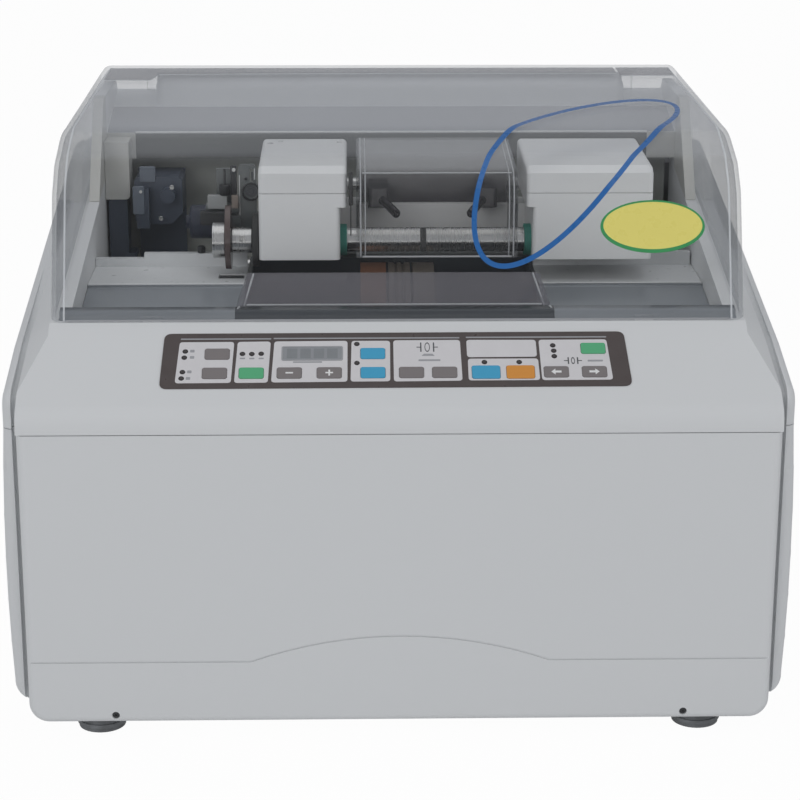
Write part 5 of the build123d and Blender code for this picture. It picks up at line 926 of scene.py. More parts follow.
@dataclass
class Console:
    """Printed segments, display, lamps and signs of the sloping console."""

    foot_z: float = 235.6
    top_y: float = 69.0
    top_z: float = 282.6
    middle_y: float = 40.35
    panel_x: float = -3.0
    panel_size: Pair = (317.0, 47.5)
    proud: float = 0.6
    key_proud: float = 0.4
    film: float = 0.12
    corner: float = 2.4
    key_size: Pair = (16.8, 9.6)
    wide_key: Pair = (19.2, 11.4)
    border: tuple[Pair, ...] = (
        (-163.4, -24.8), (158.2, -23.9), (155.6, 24.6), (-161.6, 24.0))
    keys: dict[str, Pair] = field(default_factory=lambda: {
        "key_mode": (-121.9, 5.4), "key_shape": (-123.2, -11.6), "key_set": (-98.2, -11.6),
        "key_minus": (-72.3, -11.6), "key_plus": (-45.1, -11.6), "key_test": (-15.3, 5.4),
        "key_water": (-15.3, -11.6), "key_guide": (11.0, -11.6), "key_polish": (33.6, -11.6),
        "key_start": (61.9, -11.6), "key_stop": (85.5, -11.6), "key_chuck": (136.4, 9.2),
        "key_left": (109.9, -11.6), "key_right": (136.0, -11.6)})
    segments: tuple[tuple[Pair, ...], ...] = (
        ((-152.9, -20.2), (-114.9, -20.0), (-113.5, 16.3), (-150.9, 16.2)),
        ((-112.7, -20.1), (-89.8, -19.9), (-88.4, 16.6), (-111.1, 16.3)),
        ((-87.6, -19.8), (-35.7, -19.4), (-35.6, 16.9), (-85.9, 16.6)),
        ((-33.6, -19.3), (-6.6, -19.2), (-6.3, 16.8), (-32.8, 16.8)),
        ((-4.1, -19.4), (42.6, -18.9), (41.9, 17.3), (-4.1, 17.2)),
        ((46.4, 1.8), (94.4, 2.0), (94.2, 17.1), (46.3, 17.3)),
        ((46.8, -18.8), (95.5, -18.7), (95.0, 0.4), (46.8, 0.4)),
        ((96.9, -18.8), (145.3, -18.6), (143.1, 17.3), (96.2, 17.1)))
    lamps: tuple[Pair, ...] = (
        (-146.8, 7.9), (-147.3, 2.4), (-148.0, -10.4), (-148.6, -16.0), (-107.6, 5.5),
        (-101.2, 5.4), (-94.8, 5.6), (-29.2, 14.0), (-29.2, -3.0), (58.1, -2.7), (81.9, -2.8),
        (105.8, 12.0), (106.2, 7.2), (106.3, 2.3))
    lines: tuple[Point, ...] = (
        (-150.4, -88.1, 19.0), (-86.5, 41.7, 19.3), (46.1, 143.3, 19.6))
    ticks: tuple[tuple[float, float, float, float], ...] = (
        (-142.0, 8.2, 3.0, 2.4), (-142.0, 2.6, 3.0, 2.4), (-143.3, -10.2, 3.0, 2.4),
        (-144.0, -16.0, 3.0, 2.4), (-107.5, 1.5, 3.6, 1.3), (-101.1, 1.4, 3.6, 1.3),
        (-94.7, 1.4, 3.6, 1.3), (20.5, -0.8, 15.0, 1.6), (-63.0, -2.0, 20.0, 1.3),
        (134.2, -1.8, 10.5, 1.6))
    display: tuple[float, float, float, float] = (-59.8, 5.65, 40.3, 11.1)
    cells: int = 4
    cell_pitch: float = 9.2
    cell_size: Pair = (7.2, 8.6)
    lens_signs: tuple[Point, ...] = ((19.2, 10.9, 4.4), (118.9, -1.7, 3.2))
    wheel_sign: tuple[Pair, ...] = (
        (15.0, 3.0), (24.4, 3.0), (22.6, 5.0), (16.8, 5.0))
    plus: tuple[Pair, ...] = (
        (-0.6, -2.6), (0.6, -2.6), (0.6, -0.6), (2.6, -0.6), (2.6, 0.6), (0.6, 0.6), (0.6, 2.6),
        (-0.6, 2.6), (-0.6, 0.6), (-2.6, 0.6), (-2.6, -0.6), (-0.6, -0.6))
    arrow: tuple[Pair, ...] = (
        (-3.5, 0.0), (-0.6, -2.6), (-0.6, -0.9), (3.5, -0.9), (3.5, 0.9), (-0.6, 0.9),
        (-0.6, 2.6))

    def plane(self, lift: float, x: float = 0.0, y: float = 0.0) -> Matrix:
        """Plane parallel to the console.

        Args:
            lift: Height above the console, in mm.
            x: Place along the console.
            y: Place up the console, from its middle line.

        Returns:
            Matrix whose X is along the console and Y up it.
        """
        rise = (self.top_z - self.foot_z) / self.top_y
        origin = place(0.0, self.middle_y, self.foot_z + rise * self.middle_y)
        up = Vector((0.0, 1.0, rise))
        made = plane_at(origin, Vector((1.0, 0.0, 0.0)), up)
        return made @ Matrix.Translation((x * MM, y * MM, lift * MM))

    def film_piece(self, name: str, outlines: Sequence[Sequence[Pair]],
                   finish: Finish, lift: float, body: Body = Body.CASING,
                   thick: Optional[float] = None) -> None:
        """Lay a printed film on the console.

        Args:
            name: Name of the piece.
            outlines: Closed outlines, the inner ones as holes.
            finish: Its surface.
            lift: Height of its underside above the console.
            body: Body that it rides on.
            thick: Thickness, the film's own if left out.
        """
        mesh = Sketch.plate(outlines, thick or self.film, self.plane(lift))
        Sketch.piece(name, mesh, finish, body)

    def make_border(self) -> None:
        """Make the dark frame that widens the panel towards its lower corners."""
        width, height = self.panel_size
        hole = rounded_box(self.panel_x, 0.0, width - 0.6, height - 0.6, 4.8)
        outlines = [rounded_shape(self.border, 5.5), hole]
        self.film_piece("panel_border", outlines, PANEL, 0.0, thick=self.proud + 0.02)

    def make_segments(self) -> None:
        """Make the pale fields with the holes for their keys, and the lines above them."""
        for number, corners in enumerate(self.segments, 1):
            outlines = [rounded_shape(corners, self.corner)]
            left, right = corners[0][0], corners[1][0]
            low, high = corners[0][1], corners[2][1]
            for name, (x, y) in self.keys.items():
                x += self.panel_x
                if left < x < right and low < y < high:
                    wide = name in ("key_start", "key_stop")
                    width, height = self.wide_key if wide else self.key_size
                    outlines.append(rounded_box(x, y, width + 0.5, height + 0.5, 1.8))
            self.film_piece(f"console_segment_{number}", outlines, SEGMENT, self.proud)
        for number, (left, right, y) in enumerate(self.lines, 1):
            outline = rounded_box((left + right) / 2, y, right - left, 1.1, 0.5)
            self.film_piece(f"console_line_{number}", [outline], INK_GREY, self.proud)

    def make_lamps(self) -> None:
        """Make the round status lamps with their rims."""
        for number, (x, y) in enumerate(self.lamps, 1):
            at = self.plane(self.proud + self.film - 0.02, x, y)
            dome = ((2.0, 0.0), (1.95, 0.1), (1.75, 0.12), (1.65, 0.22), (1.1, 0.36), (0.0, 0.42))
            Sketch.piece(f"status_lamp_{number}", Sketch.turned(dome, at, 20), LAMP, Body.CASING)

    def make_display(self) -> None:
        """Make the display's bezel, window and four cells."""
        x, y, width, height = self.display
        lift = self.proud + self.film - 0.02
        bezel = [rounded_box(x, y, width + 1.8, height + 1.8, 1.5),
                 rounded_box(x, y, width, height, 0.9)]
        mesh = Sketch.plate(bezel, 0.3, self.plane(lift), 0.08)
        Sketch.piece("display_bezel", mesh, INK_GREY, Body.CASING)
        self.film_piece("display_window", [rounded_box(x, y, width, height, 0.9)], LCD, lift,
                        thick=0.14)
        for number in range(self.cells):
            place_x = x + (number - (self.cells - 1) / 2) * self.cell_pitch
            cell = rounded_box(place_x, y, *self.cell_size, 0.5)
            self.film_piece(f"display_cell_{number + 1}", [cell], LCD_CELL, lift + 0.13,
                            thick=0.04)

    def make_signs(self) -> None:
        """Make the plain signs: field ticks, lens signs and the marks on four keys."""
        lift = self.proud + self.film - 0.01
        for number, (x, y, width, height) in enumerate(self.ticks, 1):
            self.film_piece(f"field_tick_{number}", [rounded_box(x, y, width, height, 0.5)],
                            INK_GREY, lift, thick=0.05)
        for number, (x, y, half) in enumerate(self.lens_signs, 1):
            for side in (-1, 1):
                bar = rounded_box(x + side * half, y, 0.9, half * 1.9, 0.3)
                pin = rounded_box(x + side * (half + 1.5), y, 3.0, 0.7, 0.2)
                self.film_piece(f"sign_{number}_bar_{side}", [bar], INK_DARK, lift, thick=0.06)
                self.film_piece(f"sign_{number}_pin_{side}", [pin], INK_DARK, lift, thick=0.06)
            lens = circle(x, y, half * 0.42, 24, 2.3)
            hole = circle(x, y, half * 0.42 - 0.5, 24, 2.5)
            self.film_piece(f"sign_{number}_lens", [lens, hole], INK_DARK, lift, thick=0.06)
        self.film_piece("sign_1_wheel", [rounded_shape(self.wheel_sign, 0.4)], INK_GREY, lift,
                        thick=0.06)
        on_key = self.proud + self.key_proud - 0.01
        signs = (("key_left", Body.KEY_LEFT, [self.arrow]),
                 ("key_right", Body.KEY_RIGHT, [[(-x, y) for x, y in self.arrow]]),
                 ("key_minus", Body.KEY_MINUS, [rounded_box(0, 0, 5.2, 1.3, 0.3)]),
                 ("key_plus", Body.KEY_PLUS, [self.plus]))
        for key, body, shapes in signs:
            x, y = self.keys[key]
            moved = [[(px + x + self.panel_x, py + y) for px, py in shape] for shape in shapes]
            self.film_piece(key + "_sign", moved, INK_WHITE, on_key, body, 0.07)

    def build(self) -> None:
        """Make the whole console print."""
        self.make_border()
        self.make_segments()
        self.make_lamps()
        self.make_display()
        self.make_signs()
        LOG.info("console: %d segments, %d lamps, display, signs", len(self.segments),
                 len(self.lamps))


@dataclass
class HoodPrint:
    """Printed ring and blank oval on the hood, strips of painted highlight along its side corners
    and top, and frosted bands.
    """

    corners: tuple[Pair, ...] = (
        (69.0, 283.0), (104.5, 369.5), (125.0, 388.5), (165.0, 401.5), (445.0, 405.0))
    radii: tuple[float, ...] = (0.0, 22.0, 22.0, 60.0, 0.0)
    half: float = 242.0
    edge: float = 9.0
    lift: float = 0.16
    underside: float = 0.02
    ring_at: Pair = (133.4, 156.0)
    ring_axes: Pair = (134.5, 46.8)
    ring_lean: float = 1.028
    ring_line: float = 3.7
    ring_steps: int = 180
    swell_from: float = 115.0
    swell_run: float = 55.0
    swell: float = 1.5
    oval_at: Pair = (178.0, 66.0)
    oval_axes: Pair = (36.6, 18.7)
    oval_shift: Pair = (0.2, 0.7)
    rim_start: float = 0.8
    rim_end: float = 428.0
    # width of the painted highlight strips along the hood's side corners
    rim_wide: float = 1.3
    foot_line: Pair = (0.6, 1.7)
    # width of the painted highlight lines on the hood's top
    top_highlight_wide: float = 2.2
    band_from: float = 2.4
    # painted highlight lines on the hood's top, as x and s; the frosted bands run behind them
    highlight_lines: tuple[tuple[str, tuple[Pair, ...]], ...] = (
        ("hood_top_line", ((-232.0, 367.0), (-194.0, 367.0), (-189.0, 395.0), (-120.0, 398.0),
                           (0.0, 399.5), (120.0, 399.0), (186.0, 398.5))),
        ("hood_top_line_right", ((188.0, 385.5), (213.0, 385.4), (232.0, 385.2))))

    def __post_init__(self) -> None:
        """Sample the side profile of the hood's outer skin with its rounded corners."""
        points = [Vector(self.corners[0])]
        for i in range(1, len(self.corners) - 1):
            before, here, after = (Vector(self.corners[k]) for k in (i - 1, i, i + 1))
            back, ahead = (before - here).normalized(), (after - here).normalized()
            half = back.angle(ahead) / 2
            run = self.radii[i] / math.tan(half)
            middle = here + (back + ahead).normalized() * self.radii[i] / math.sin(half)
            first, last = here + back * run - middle, here + ahead * run - middle
            turn = first.angle(last)
            for k in range(9):
                share = k / 8
                spoke = (first * math.sin((1 - share) * turn)
                         + last * math.sin(share * turn)) / math.sin(turn)
                points.append(middle + spoke)
        points.append(Vector(self.corners[-1]))
        self.path = points
        self.stations = [0.0]
        for first, last in zip(points, points[1:]):
            self.stations.append(self.stations[-1] + (last - first).length)

    def skin(self, x: float, s: float, lift: float) -> Vector:
        """Point on or above the hood's skin.

        Args:
            x: Place to the right, in mm.
            s: Length along the profile from the lower front edge, in mm.
            lift: Height above the skin, in mm.

        Returns:
            The point in the row frame, in metres.
        """
        s = min(max(s, 0.0), self.stations[-1])
        i = max(k for k, station in enumerate(self.stations[:-1]) if station <= s)
        start, end = self.path[i], self.path[i + 1]
        share = (s - self.stations[i]) / (self.stations[i + 1] - self.stations[i])
        spot = start.lerp(end, share)
        run = (end - start).normalized()
        return place(x, spot.x - run.y * lift, spot.y + run.x * lift)

    def ribbon(self, name: str, outer: Sequence[Pair],
               inner: Sequence[Pair], finish: Finish, closed: bool = True) -> None:
        """Lay a thin band on the skin between two lines of (x, s).

        Args:
            name: Name of the piece.
            outer: Points of the outer line.
            inner: Points of the inner line, as many.
            finish: Its surface.
            closed: Whether the band runs all the way round.
        """
        made = bmesh.new()
        rows = []
        for line, lift in ((outer, self.underside), (outer, self.lift), (inner, self.lift),
                           (inner, self.underside)):
            rows.append([made.verts.new(self.skin(x, s, lift)) for x, s in line])
        count = len(outer)
        for i in range(count if closed else count - 1):
            j = (i + 1) % count
            for low, high in zip(rows, rows[1:] + rows[:1]):
                made.faces.new((low[i], low[j], high[j], high[i]))
        if not closed:
            made.faces.new([row[0] for row in rows])
            made.faces.new([row[-1] for row in reversed(rows)])
        bmesh.ops.recalc_face_normals(made, faces=made.faces)
        mesh = bpy.data.meshes.new(name)
        made.to_mesh(mesh)
        made.free()
        Sketch.piece(name, mesh, finish, Body.HOOD)

    def oval(self, centre: Pair, axes: Pair, lean: float = 0.0,
             steps: int = 120) -> list[Pair]:
        """Points of an ellipse in (x, s).

        Args:
            centre: Its centre.
            axes: Its half axes.
            lean: Angle of the first axis from X, in radians.
            steps: Number of points.

        Returns:
            The points.
        """
        points = []
        for i in range(steps):
            u = axes[0] * math.cos(math.tau * i / steps)
            v = axes[1] * math.sin(math.tau * i / steps)
            points.append((centre[0] + u * math.cos(lean) - v * math.sin(lean),
                           centre[1] + u * math.sin(lean) + v * math.cos(lean)))
        return points

    def make_ring(self) -> None:
        """Print the plain blue ring that leans across the right of the hood."""
        middle = self.oval(self.ring_at, self.ring_axes, self.ring_lean, self.ring_steps)
        outer, inner = [], []
        for i, (x, s) in enumerate(middle):
            run = Vector(middle[(i + 1) % self.ring_steps]) - Vector(middle[i - 1])
            run.normalize()
            half = self.ring_line / 2
            up = min(max((s - self.swell_from) / self.swell_run, 0.0), 1.0)
            wide = half * (1 + self.swell * up)
            outer.append((x + run.y * half, s - run.x * wide))
            inner.append((x - run.y * half, s + run.x * wide))
        self.ribbon("hood_ring", outer, inner, RING_BLUE)

    def make_oval(self) -> None:
        """Stick the blank yellow oval with its green border on the hood's front."""
        a, b = self.oval_axes
        run = (Vector(self.corners[1]) - Vector(self.corners[0])).normalized()
        base = plane_at(self.skin(0.0, 0.0, self.underside), Vector((1, 0, 0)),
                        Vector((0, run.x, run.y)))
        centre = tuple(at + by for at, by in zip(self.oval_at, self.oval_shift))
        border = [self.oval(self.oval_at, (a, b)), self.oval(centre, (a - 1.9, b - 2.0))]
        Sketch.piece("hood_oval_border", Sketch.plate(border, 0.16, base), OVAL_GREEN, Body.HOOD)
        face = [self.oval(centre, (a - 1.8, b - 1.9))]
        Sketch.piece("hood_oval_face", Sketch.plate(face, 0.14, base), OVAL_YELLOW, Body.HOOD)

    def make_rims(self) -> None:
        """Make the side strips of painted highlight, the foot line, the top's painted highlight
        lines and the frosted bands.
        """
        run = self.rim_end - self.rim_start
        steps = [self.rim_start + run * i / 90 for i in range(91)]
        # strips of painted highlight along the hood's side corners
        for side in (-1, 1):
            start = self.half - self.edge - 0.3
            outer = [(side * start, s) for s in steps]
            inner = [(side * (start - self.rim_wide), s) for s in steps]
            name = f"hood_rim_{'left' if side < 0 else 'right'}"
            self.ribbon(name, outer, inner, EDGE_HIGHLIGHT, closed=False)
        reach = self.half - self.edge - 2.5
        across = [-reach + 2 * reach * i / 8 for i in range(9)]
        low, high = ([(x, s) for x in across] for s in self.foot_line)
        self.ribbon("hood_foot_line", low, high, INK_GREY, closed=False)
        for name, line in self.highlight_lines:
            self.ribbon(name, line, [(x, s + self.top_highlight_wide) for x, s in line], EDGE_HIGHLIGHT,
                        closed=False)
            self.ribbon(name.replace("line", "band"), [(x, s + self.band_from) for x, s in line],
                        [(x, self.rim_end) for x, s in line], BAND_CLEAR, closed=False)

    def build(self) -> None:
        """Make the ring, the oval, the painted highlight strips and the bands."""
        self.make_ring()
        self.make_oval()
        self.make_rims()
        LOG.info("hood: ring, oval, rims, bands")


@dataclass
class LeftGear:
    """Small gear at the outer end of the left lens shaft and beside the left arm."""

    shaft_y: float = 205.0
    shaft_z: float = 310.0
    cap_x: float = -136.4
    ring_x: float = -136.2
    gasket_x: float = -106.3
    knob_x: float = -108.55
    knob_z: float = 341.0
    gauge_y: float = 237.0
    stop_x: float = -128.3
    stop_y: float = 233.5
    clip_y: float = 183.0
    arm_top: float = 370.0
    cap_screws: tuple[Pair, ...] = ((-94.5, 272.0), (-87.0, 280.0), (-41.5, 276.0))

    def peg(self, name: str, profile: Sequence[Pair], where: Matrix,
            finish: Finish, body: Body = Body.HEAD) -> None:
        """Make a turned piece.

        Args:
            name: Name of the piece.
            profile: Points of (radius, height) in mm.
            where: Matrix of its foot and axis.
            finish: Its surface.
            body: Body that it rides on.
        """
        Sketch.piece(name, Sketch.turned(profile, where), finish, body)

    def slab(self, name: str, spans: tuple[float, float, float, float], y: float, thick: float,
             finish: Finish, body: Body = Body.HEAD, corner: float = 1.2) -> None:
        """Make an upright rounded block that faces the front.

        Args:
            name: Name of the piece.
            spans: Left, right, low and high in mm.
            y: Its back face behind the front wall.
            thick: Thickness towards the front.
            finish: Its surface.
            body: Body that it rides on.
            corner: Radius of its corners.
        """
        left, right, low, high = spans
        outline = rounded_box(0, 0, right - left, high - low, corner)
        where = facing_front((left + right) / 2, y, (low + high) / 2)
        Sketch.piece(name, Sketch.plate([outline], thick, where, min(0.5, thick / 3)), finish,
                     body)

    def make_end(self) -> None:
        """Make the end face and ring of the chromed shaft end and pattern collar, and the gasket.
        """
        axis = axis_x(self.cap_x, self.shaft_y, self.shaft_z)
        face = ((0.0, -0.25), (4.2, -0.25), (4.6, -0.1), (10.2, -0.1), (11.0, 0.1), (0.0, 0.15))
        self.peg("shaft_end_face", face, axis, CHROME, Body.LEFT_SHAFT)
        ring = ((13.0, 0.0), (13.45, 0.2), (13.45, 1.1), (13.1, 1.3), (13.0, 1.3))
        self.peg("shaft_end_ring", ring, axis_x(self.ring_x, self.shaft_y, self.shaft_z), CHROME,
                 Body.LEFT_SHAFT)
        gasket = ((8.5, 0.0), (19.2, 0.0), (20.0, 0.8), (20.0, 4.0), (19.2, 4.8), (8.5, 4.8))
        self.peg("shaft_gasket", gasket, axis_x(self.gasket_x, self.shaft_y, self.shaft_z),
                 RUBBER)

    def make_gauge(self) -> None:
        """Make the trims of the slotted gauge plate and its clamp knob."""
        rim = ((6.9, 0.0), (7.1, 0.3), (7.1, 1.0), (6.2, 1.4), (5.6, 1.1), (5.6, 0.0))
        self.peg("gauge_knob_rim", rim, facing_front(self.knob_x, 233.0, self.knob_z),
                 BLACK_PLASTIC)
        disc = ((0.0, 0.9), (2.0, 0.9), (2.4, 0.6), (4.6, 0.6), (5.2, 0.0))
        self.peg("gauge_knob_disc", disc, facing_front(self.knob_x, 234.5, self.knob_z),
                 INK_DARK)
        for name, spans, thick, finish, corner in (
                ("gauge_line_left", (-117.6, -116.9, 322.0, 353.0), 0.4, WHITE_NYLON, 0.3),
                ("gauge_line_right", (-106.1, -105.4, 349.5, 358.0), 0.4, WHITE_NYLON, 0.3),
                ("gauge_slot_line", (-108.2, -107.0, 348.6, 355.5), 0.3, INK_DARK, 0.5)):
            self.slab(name, spans, self.gauge_y, thick, finish, corner=corner)
        self.peg("gauge_pin", screw_head(1.1, 0.9), facing_front(-112.4, self.gauge_y, 350.0),
                 BLACK_PLASTIC)

    def make_stack(self) -> None:
        """Make the small blocks and screws that hang beside the left arm."""
        self.slab("stop_block_lower", (-146.8, -127.6, 317.0, 327.0), 232.0, 8.0, BLACK_PLASTIC)
        self.slab("stop_plate_pale", (-141.4, -126.6, 328.0, 338.5), 236.0, 5.0, GREY_NYLON)
        self.slab("stop_plate_taupe", (-123.3, -118.2, 328.0, 338.0), 236.8, 4.0, TAUPE,
                  corner=0.6)
        knob = ((0.0, 8.2), (3.4, 8.2), (4.2, 7.4), (4.2, 1.0), (3.6, 0.0), (0.0, 0.0))
        self.peg("stop_knob", knob, facing_up(self.stop_x, self.stop_y, 338.3), BLACK_PLASTIC)
        stem = barrel(0.9, 12.5, 0.25)
        self.peg("stop_stem", stem, facing_up(self.stop_x, self.stop_y, 346.0), BLACK_PLASTIC)
        self.slab("stop_arm", (-124.0, -119.4, 337.5, 360.0), 240.0, 3.0, MOTOR_BLACK)
        self.peg("stop_screw", screw_head(1.4, 1.2), facing_front(-121.4, self.gauge_y, 357.0),
                 WHITE_NYLON)

    def make_strap(self) -> None:
        """Make the clip beside the lens guard and the screws on the arm's cap."""
        self.slab("guard_clip", (-34.6, -31.4, 341.0, 366.0), self.clip_y, 2.2, BLACK_PLASTIC,
                  corner=0.8)
        self.slab("guard_clip_tail", (-33.4, -32.6, 318.0, 341.5), self.clip_y, 1.2,
                  BLACK_PLASTIC, corner=0.3)
        for number, (x, y) in enumerate(self.cap_screws, 1):
            self.peg(f"cap_screw_{number}", screw_head(2.3, 0.9),
                     facing_up(x, y, self.arm_top), STEEL)

    def build(self) -> None:
        """Make every small piece on the left."""
        self.make_end()
        self.make_gauge()
        self.make_stack()
        self.make_strap()
        LOG.info("left gear: shaft end, gauge trims, stop blocks, clip")


@dataclass
class WellFittings:
    """Post cap, clamp and screws of the traverse drive, and the knob on the deck."""

    gear: LeftGear = field(default_factory=LeftGear)
    bracket_y: float = 313.7
    screws: tuple[Pair, ...] = ((-174.8, 328.0), (-175.8, 321.9), (-184.0, 303.0))
    deck_knob: Point = (-147.2, 236.0, 293.0)

    def build(self) -> None:
        """Make the fittings that stay on the casing."""
        slab, peg = self.gear.slab, self.gear.peg
        slab("post_cap", (-200.5, -188.0, 331.0, 343.5), 322.0, 3.0, BLOCK_BLUE, Body.CASING)
        slab("traverse_clamp", (-205.8, -196.5, 306.5, 329.3), 313.6, 2.6, BLOCK_BLUE,
             Body.CASING, 1.6)
        peg("traverse_clamp_screw", screw_head(1.2, 1.0), facing_front(-199.2, 311.0, 325.0),
            WHITE_NYLON, Body.CASING)
        for number, (x, z) in enumerate(self.screws, 1):
            peg(f"traverse_screw_{number}", screw_head(1.9, 1.3),
                facing_front(x, self.bracket_y, z), STEEL, Body.CASING)
        knob = ((0.0, 5.5), (2.2, 5.5), (3.0, 4.6), (3.2, 1.0), (2.6, 0.0), (0.0, 0.0))
        peg("deck_knob", knob, facing_up(*self.deck_knob), BLACK_PLASTIC, Body.CASING)
        LOG.info("well fittings: post cap, traverse clamp, screws, deck knob")


@dataclass
class GuardTrim:
    """Painted highlights along the lens guard's edges, crease and lower rim, and the chromed
    nozzle tubes behind it.
    """

    left: float = -29.0
    right: float = 90.0
    front: float = 175.0
    low: float = 303.0
    crease: float = 364.2
    corner: float = 20.0
    arc_z: float = 345.3
    back: float = 286.0
    back_z: float = 371.7
    edges: tuple[tuple[str, float, float], ...] = (("outer", 3.2, 0.6), ("inner", 6.6, 0.45))
    side_inset: float = 4.5
    crease_back: float = 11.5
    nozzles: tuple[tuple[float, int], ...] = ((-12.0, 1), (71.0, -1))
    nozzle_foot: Pair = (256.0, 332.5)
    nozzle_tip: Pair = (224.0, 324.5)
    nozzle_lean: float = 14.0

    def edge(self, name: str, x: float, radius: float) -> None:
        """Make a slim strip of painted highlight up the guard's front, over its corner and along
        its roof.

        Args:
            name: Name of the piece.
            x: Its place.
            radius: Its radius.
        """
        turn = [(self.front + self.corner * (1 - math.cos(t)),
                 self.arc_z + self.corner * math.sin(t))
                for t in (math.radians(9.5 * k) for k in range(10))]
        path = [place(x, y, z) for y, z in [(self.front, self.low + 1.0)] + turn
                + [(self.back, self.back_z)]]
        Sketch.piece(name, tube(path, radius, Vector((1, 0, 0))), EDGE_HIGHLIGHT, Body.HEAD)

    def build(self) -> None:
        """Make the painted highlights on the edges, the crease and the lower rim, and the nozzle
        tubes.
        """
        for side, x, inward in (("left", self.left, 1), ("right", self.right, -1)):
            for label, inset, radius in self.edges:
                self.edge(f"guard_edge_highlight_{side}_{label}", x + inward * inset, radius)
        across = (self.left + self.side_inset, self.right - self.side_inset)
        for name, y, z, radius in (
                ("guard_crease_highlight", self.front + self.crease_back, self.crease, 0.5),
                ("guard_lower_rim_highlight", self.front, self.low + 0.9, 0.7)):
            path = [place(x, y, z) for x in across]
            Sketch.piece(name, tube(path, radius, Vector((0, 1, 0))), EDGE_HIGHLIGHT, Body.HEAD)
        for number, (x, lean) in enumerate(self.nozzles, 1):
            start = place(x, *self.nozzle_foot)
            axis = place(x + lean * self.nozzle_lean, *self.nozzle_tip) - start
            length = axis.length / MM
            foot = start + axis * 0.2
            across = axis.cross(Vector((0, 0, 1)))
            where = plane_at(foot, across, axis.cross(across))
            profile = ((2.62, 0.0), (3.4, 0.0), (3.4, 3.0), (3.0, 3.6), (3.0, length * 0.78 - 0.6),
                       (2.62, length * 0.78))
            Sketch.piece(f"nozzle_tube_{number}", Sketch.turned(profile, where), CHROME,
                         Body.HEAD)
        LOG.info("guard: edges, crease, lower rim, nozzle tubes")


@dataclass
class SplashTrim:
    """Painted highlights along the splash window's fold and edges and along the rear cover's front
    edge, and the tray's apron.
    """

    fold_y: float = 100.0
    fold_z: float = 287.0
    half: float = 104.5
    middle: float = -2.5
    window_up: Point = (0.0, 0.31, 0.95)
    side_top: Pair = (139.0, 300.0)
    foot_low: Pair = (77.4, 286.2)
    foot_high: Pair = (84.5, 290.0)
    cover_half: float = 205.0
    cover_edge: Pair = (345.2, 366.2)
    apron_half: float = 236.0
    apron_left: float = -114.0
    apron_right: float = 109.0
    apron: tuple[Pair, ...] = (
        (72.6, 283.35), (77.75, 284.3), (77.85, 287.75), (84.9, 289.05), (84.9, 289.7),
        (78.0, 288.45), (77.2, 287.9), (76.9, 284.85), (72.6, 284.0))

    def rod(self, name: str, start: Vector, end: Vector, radius: float) -> None:
        """Make a slim rounded strip of painted highlight between two points.

        Args:
            name: Name of the piece.
            start: First end in metres.
            end: Second end in metres.
            radius: Its radius in mm.
        """
        axis = end - start
        side = axis.cross(Vector(self.window_up))
        where = plane_at(start, side, axis.cross(side))
        length = axis.length / MM
        profile = ((0.0, 0.0), (radius * 0.7, 0.05), (radius, radius), (radius, length - radius),
                   (radius * 0.7, length - 0.05), (0.0, length))
        Sketch.piece(name, Sketch.turned(profile, where, 16), EDGE_HIGHLIGHT, Body.CASING)

    def make_apron(self) -> None:
        """Make the dark strip that carries the tray's floor over the rim to the hood."""
        spans = (("left", -self.apron_half, self.apron_left, TRAY),
                 ("middle", self.apron_left, self.apron_right, CHAMBER),
                 ("right", self.apron_right, self.apron_half, TRAY))
        for name, low, high, finish in spans:
            mesh = Sketch.plate([self.apron], high - low, axis_x(low, 0.0, 0.0))
            Sketch.piece(f"tray_apron_{name}", mesh, finish, Body.CASING)

    def build(self) -> None:
        """Make the apron, and the painted highlights on the fold, the side edges, the feet and the
        rear cover's edge.
        """
        self.make_apron()
        left, right = self.middle - self.half, self.middle + self.half
        self.rod("splash_fold_highlight", place(left, self.fold_y - 0.2, self.fold_z),
                 place(right, self.fold_y - 0.2, self.fold_z), 0.7)
        for name, x, lean in (("left", left, 1), ("right", right, -1)):
            self.rod(f"splash_side_highlight_{name}", place(x - lean * 1.6, self.fold_y, self.fold_z - 1.0),
                     place(x + lean * 3.6, *self.side_top), 0.8)
            self.rod(f"splash_foot_highlight_{name}", place(x - lean * 7.5, *self.foot_low),
                     place(x - lean * 4.0, *self.foot_high), 0.8)
        # a pale rod on the rear cover's front edge, as painted highlight
        path = [place(side * self.cover_half, *self.cover_edge) for side in (-1, 1)]
        Sketch.piece("rear_cover_edge_highlight", tube(path, 0.9, Vector((0, 1, 0))), HEAD_COVER,
                     Body.CASING)
        LOG.info("splash window: fold and side edges, apron, rear cover edge")


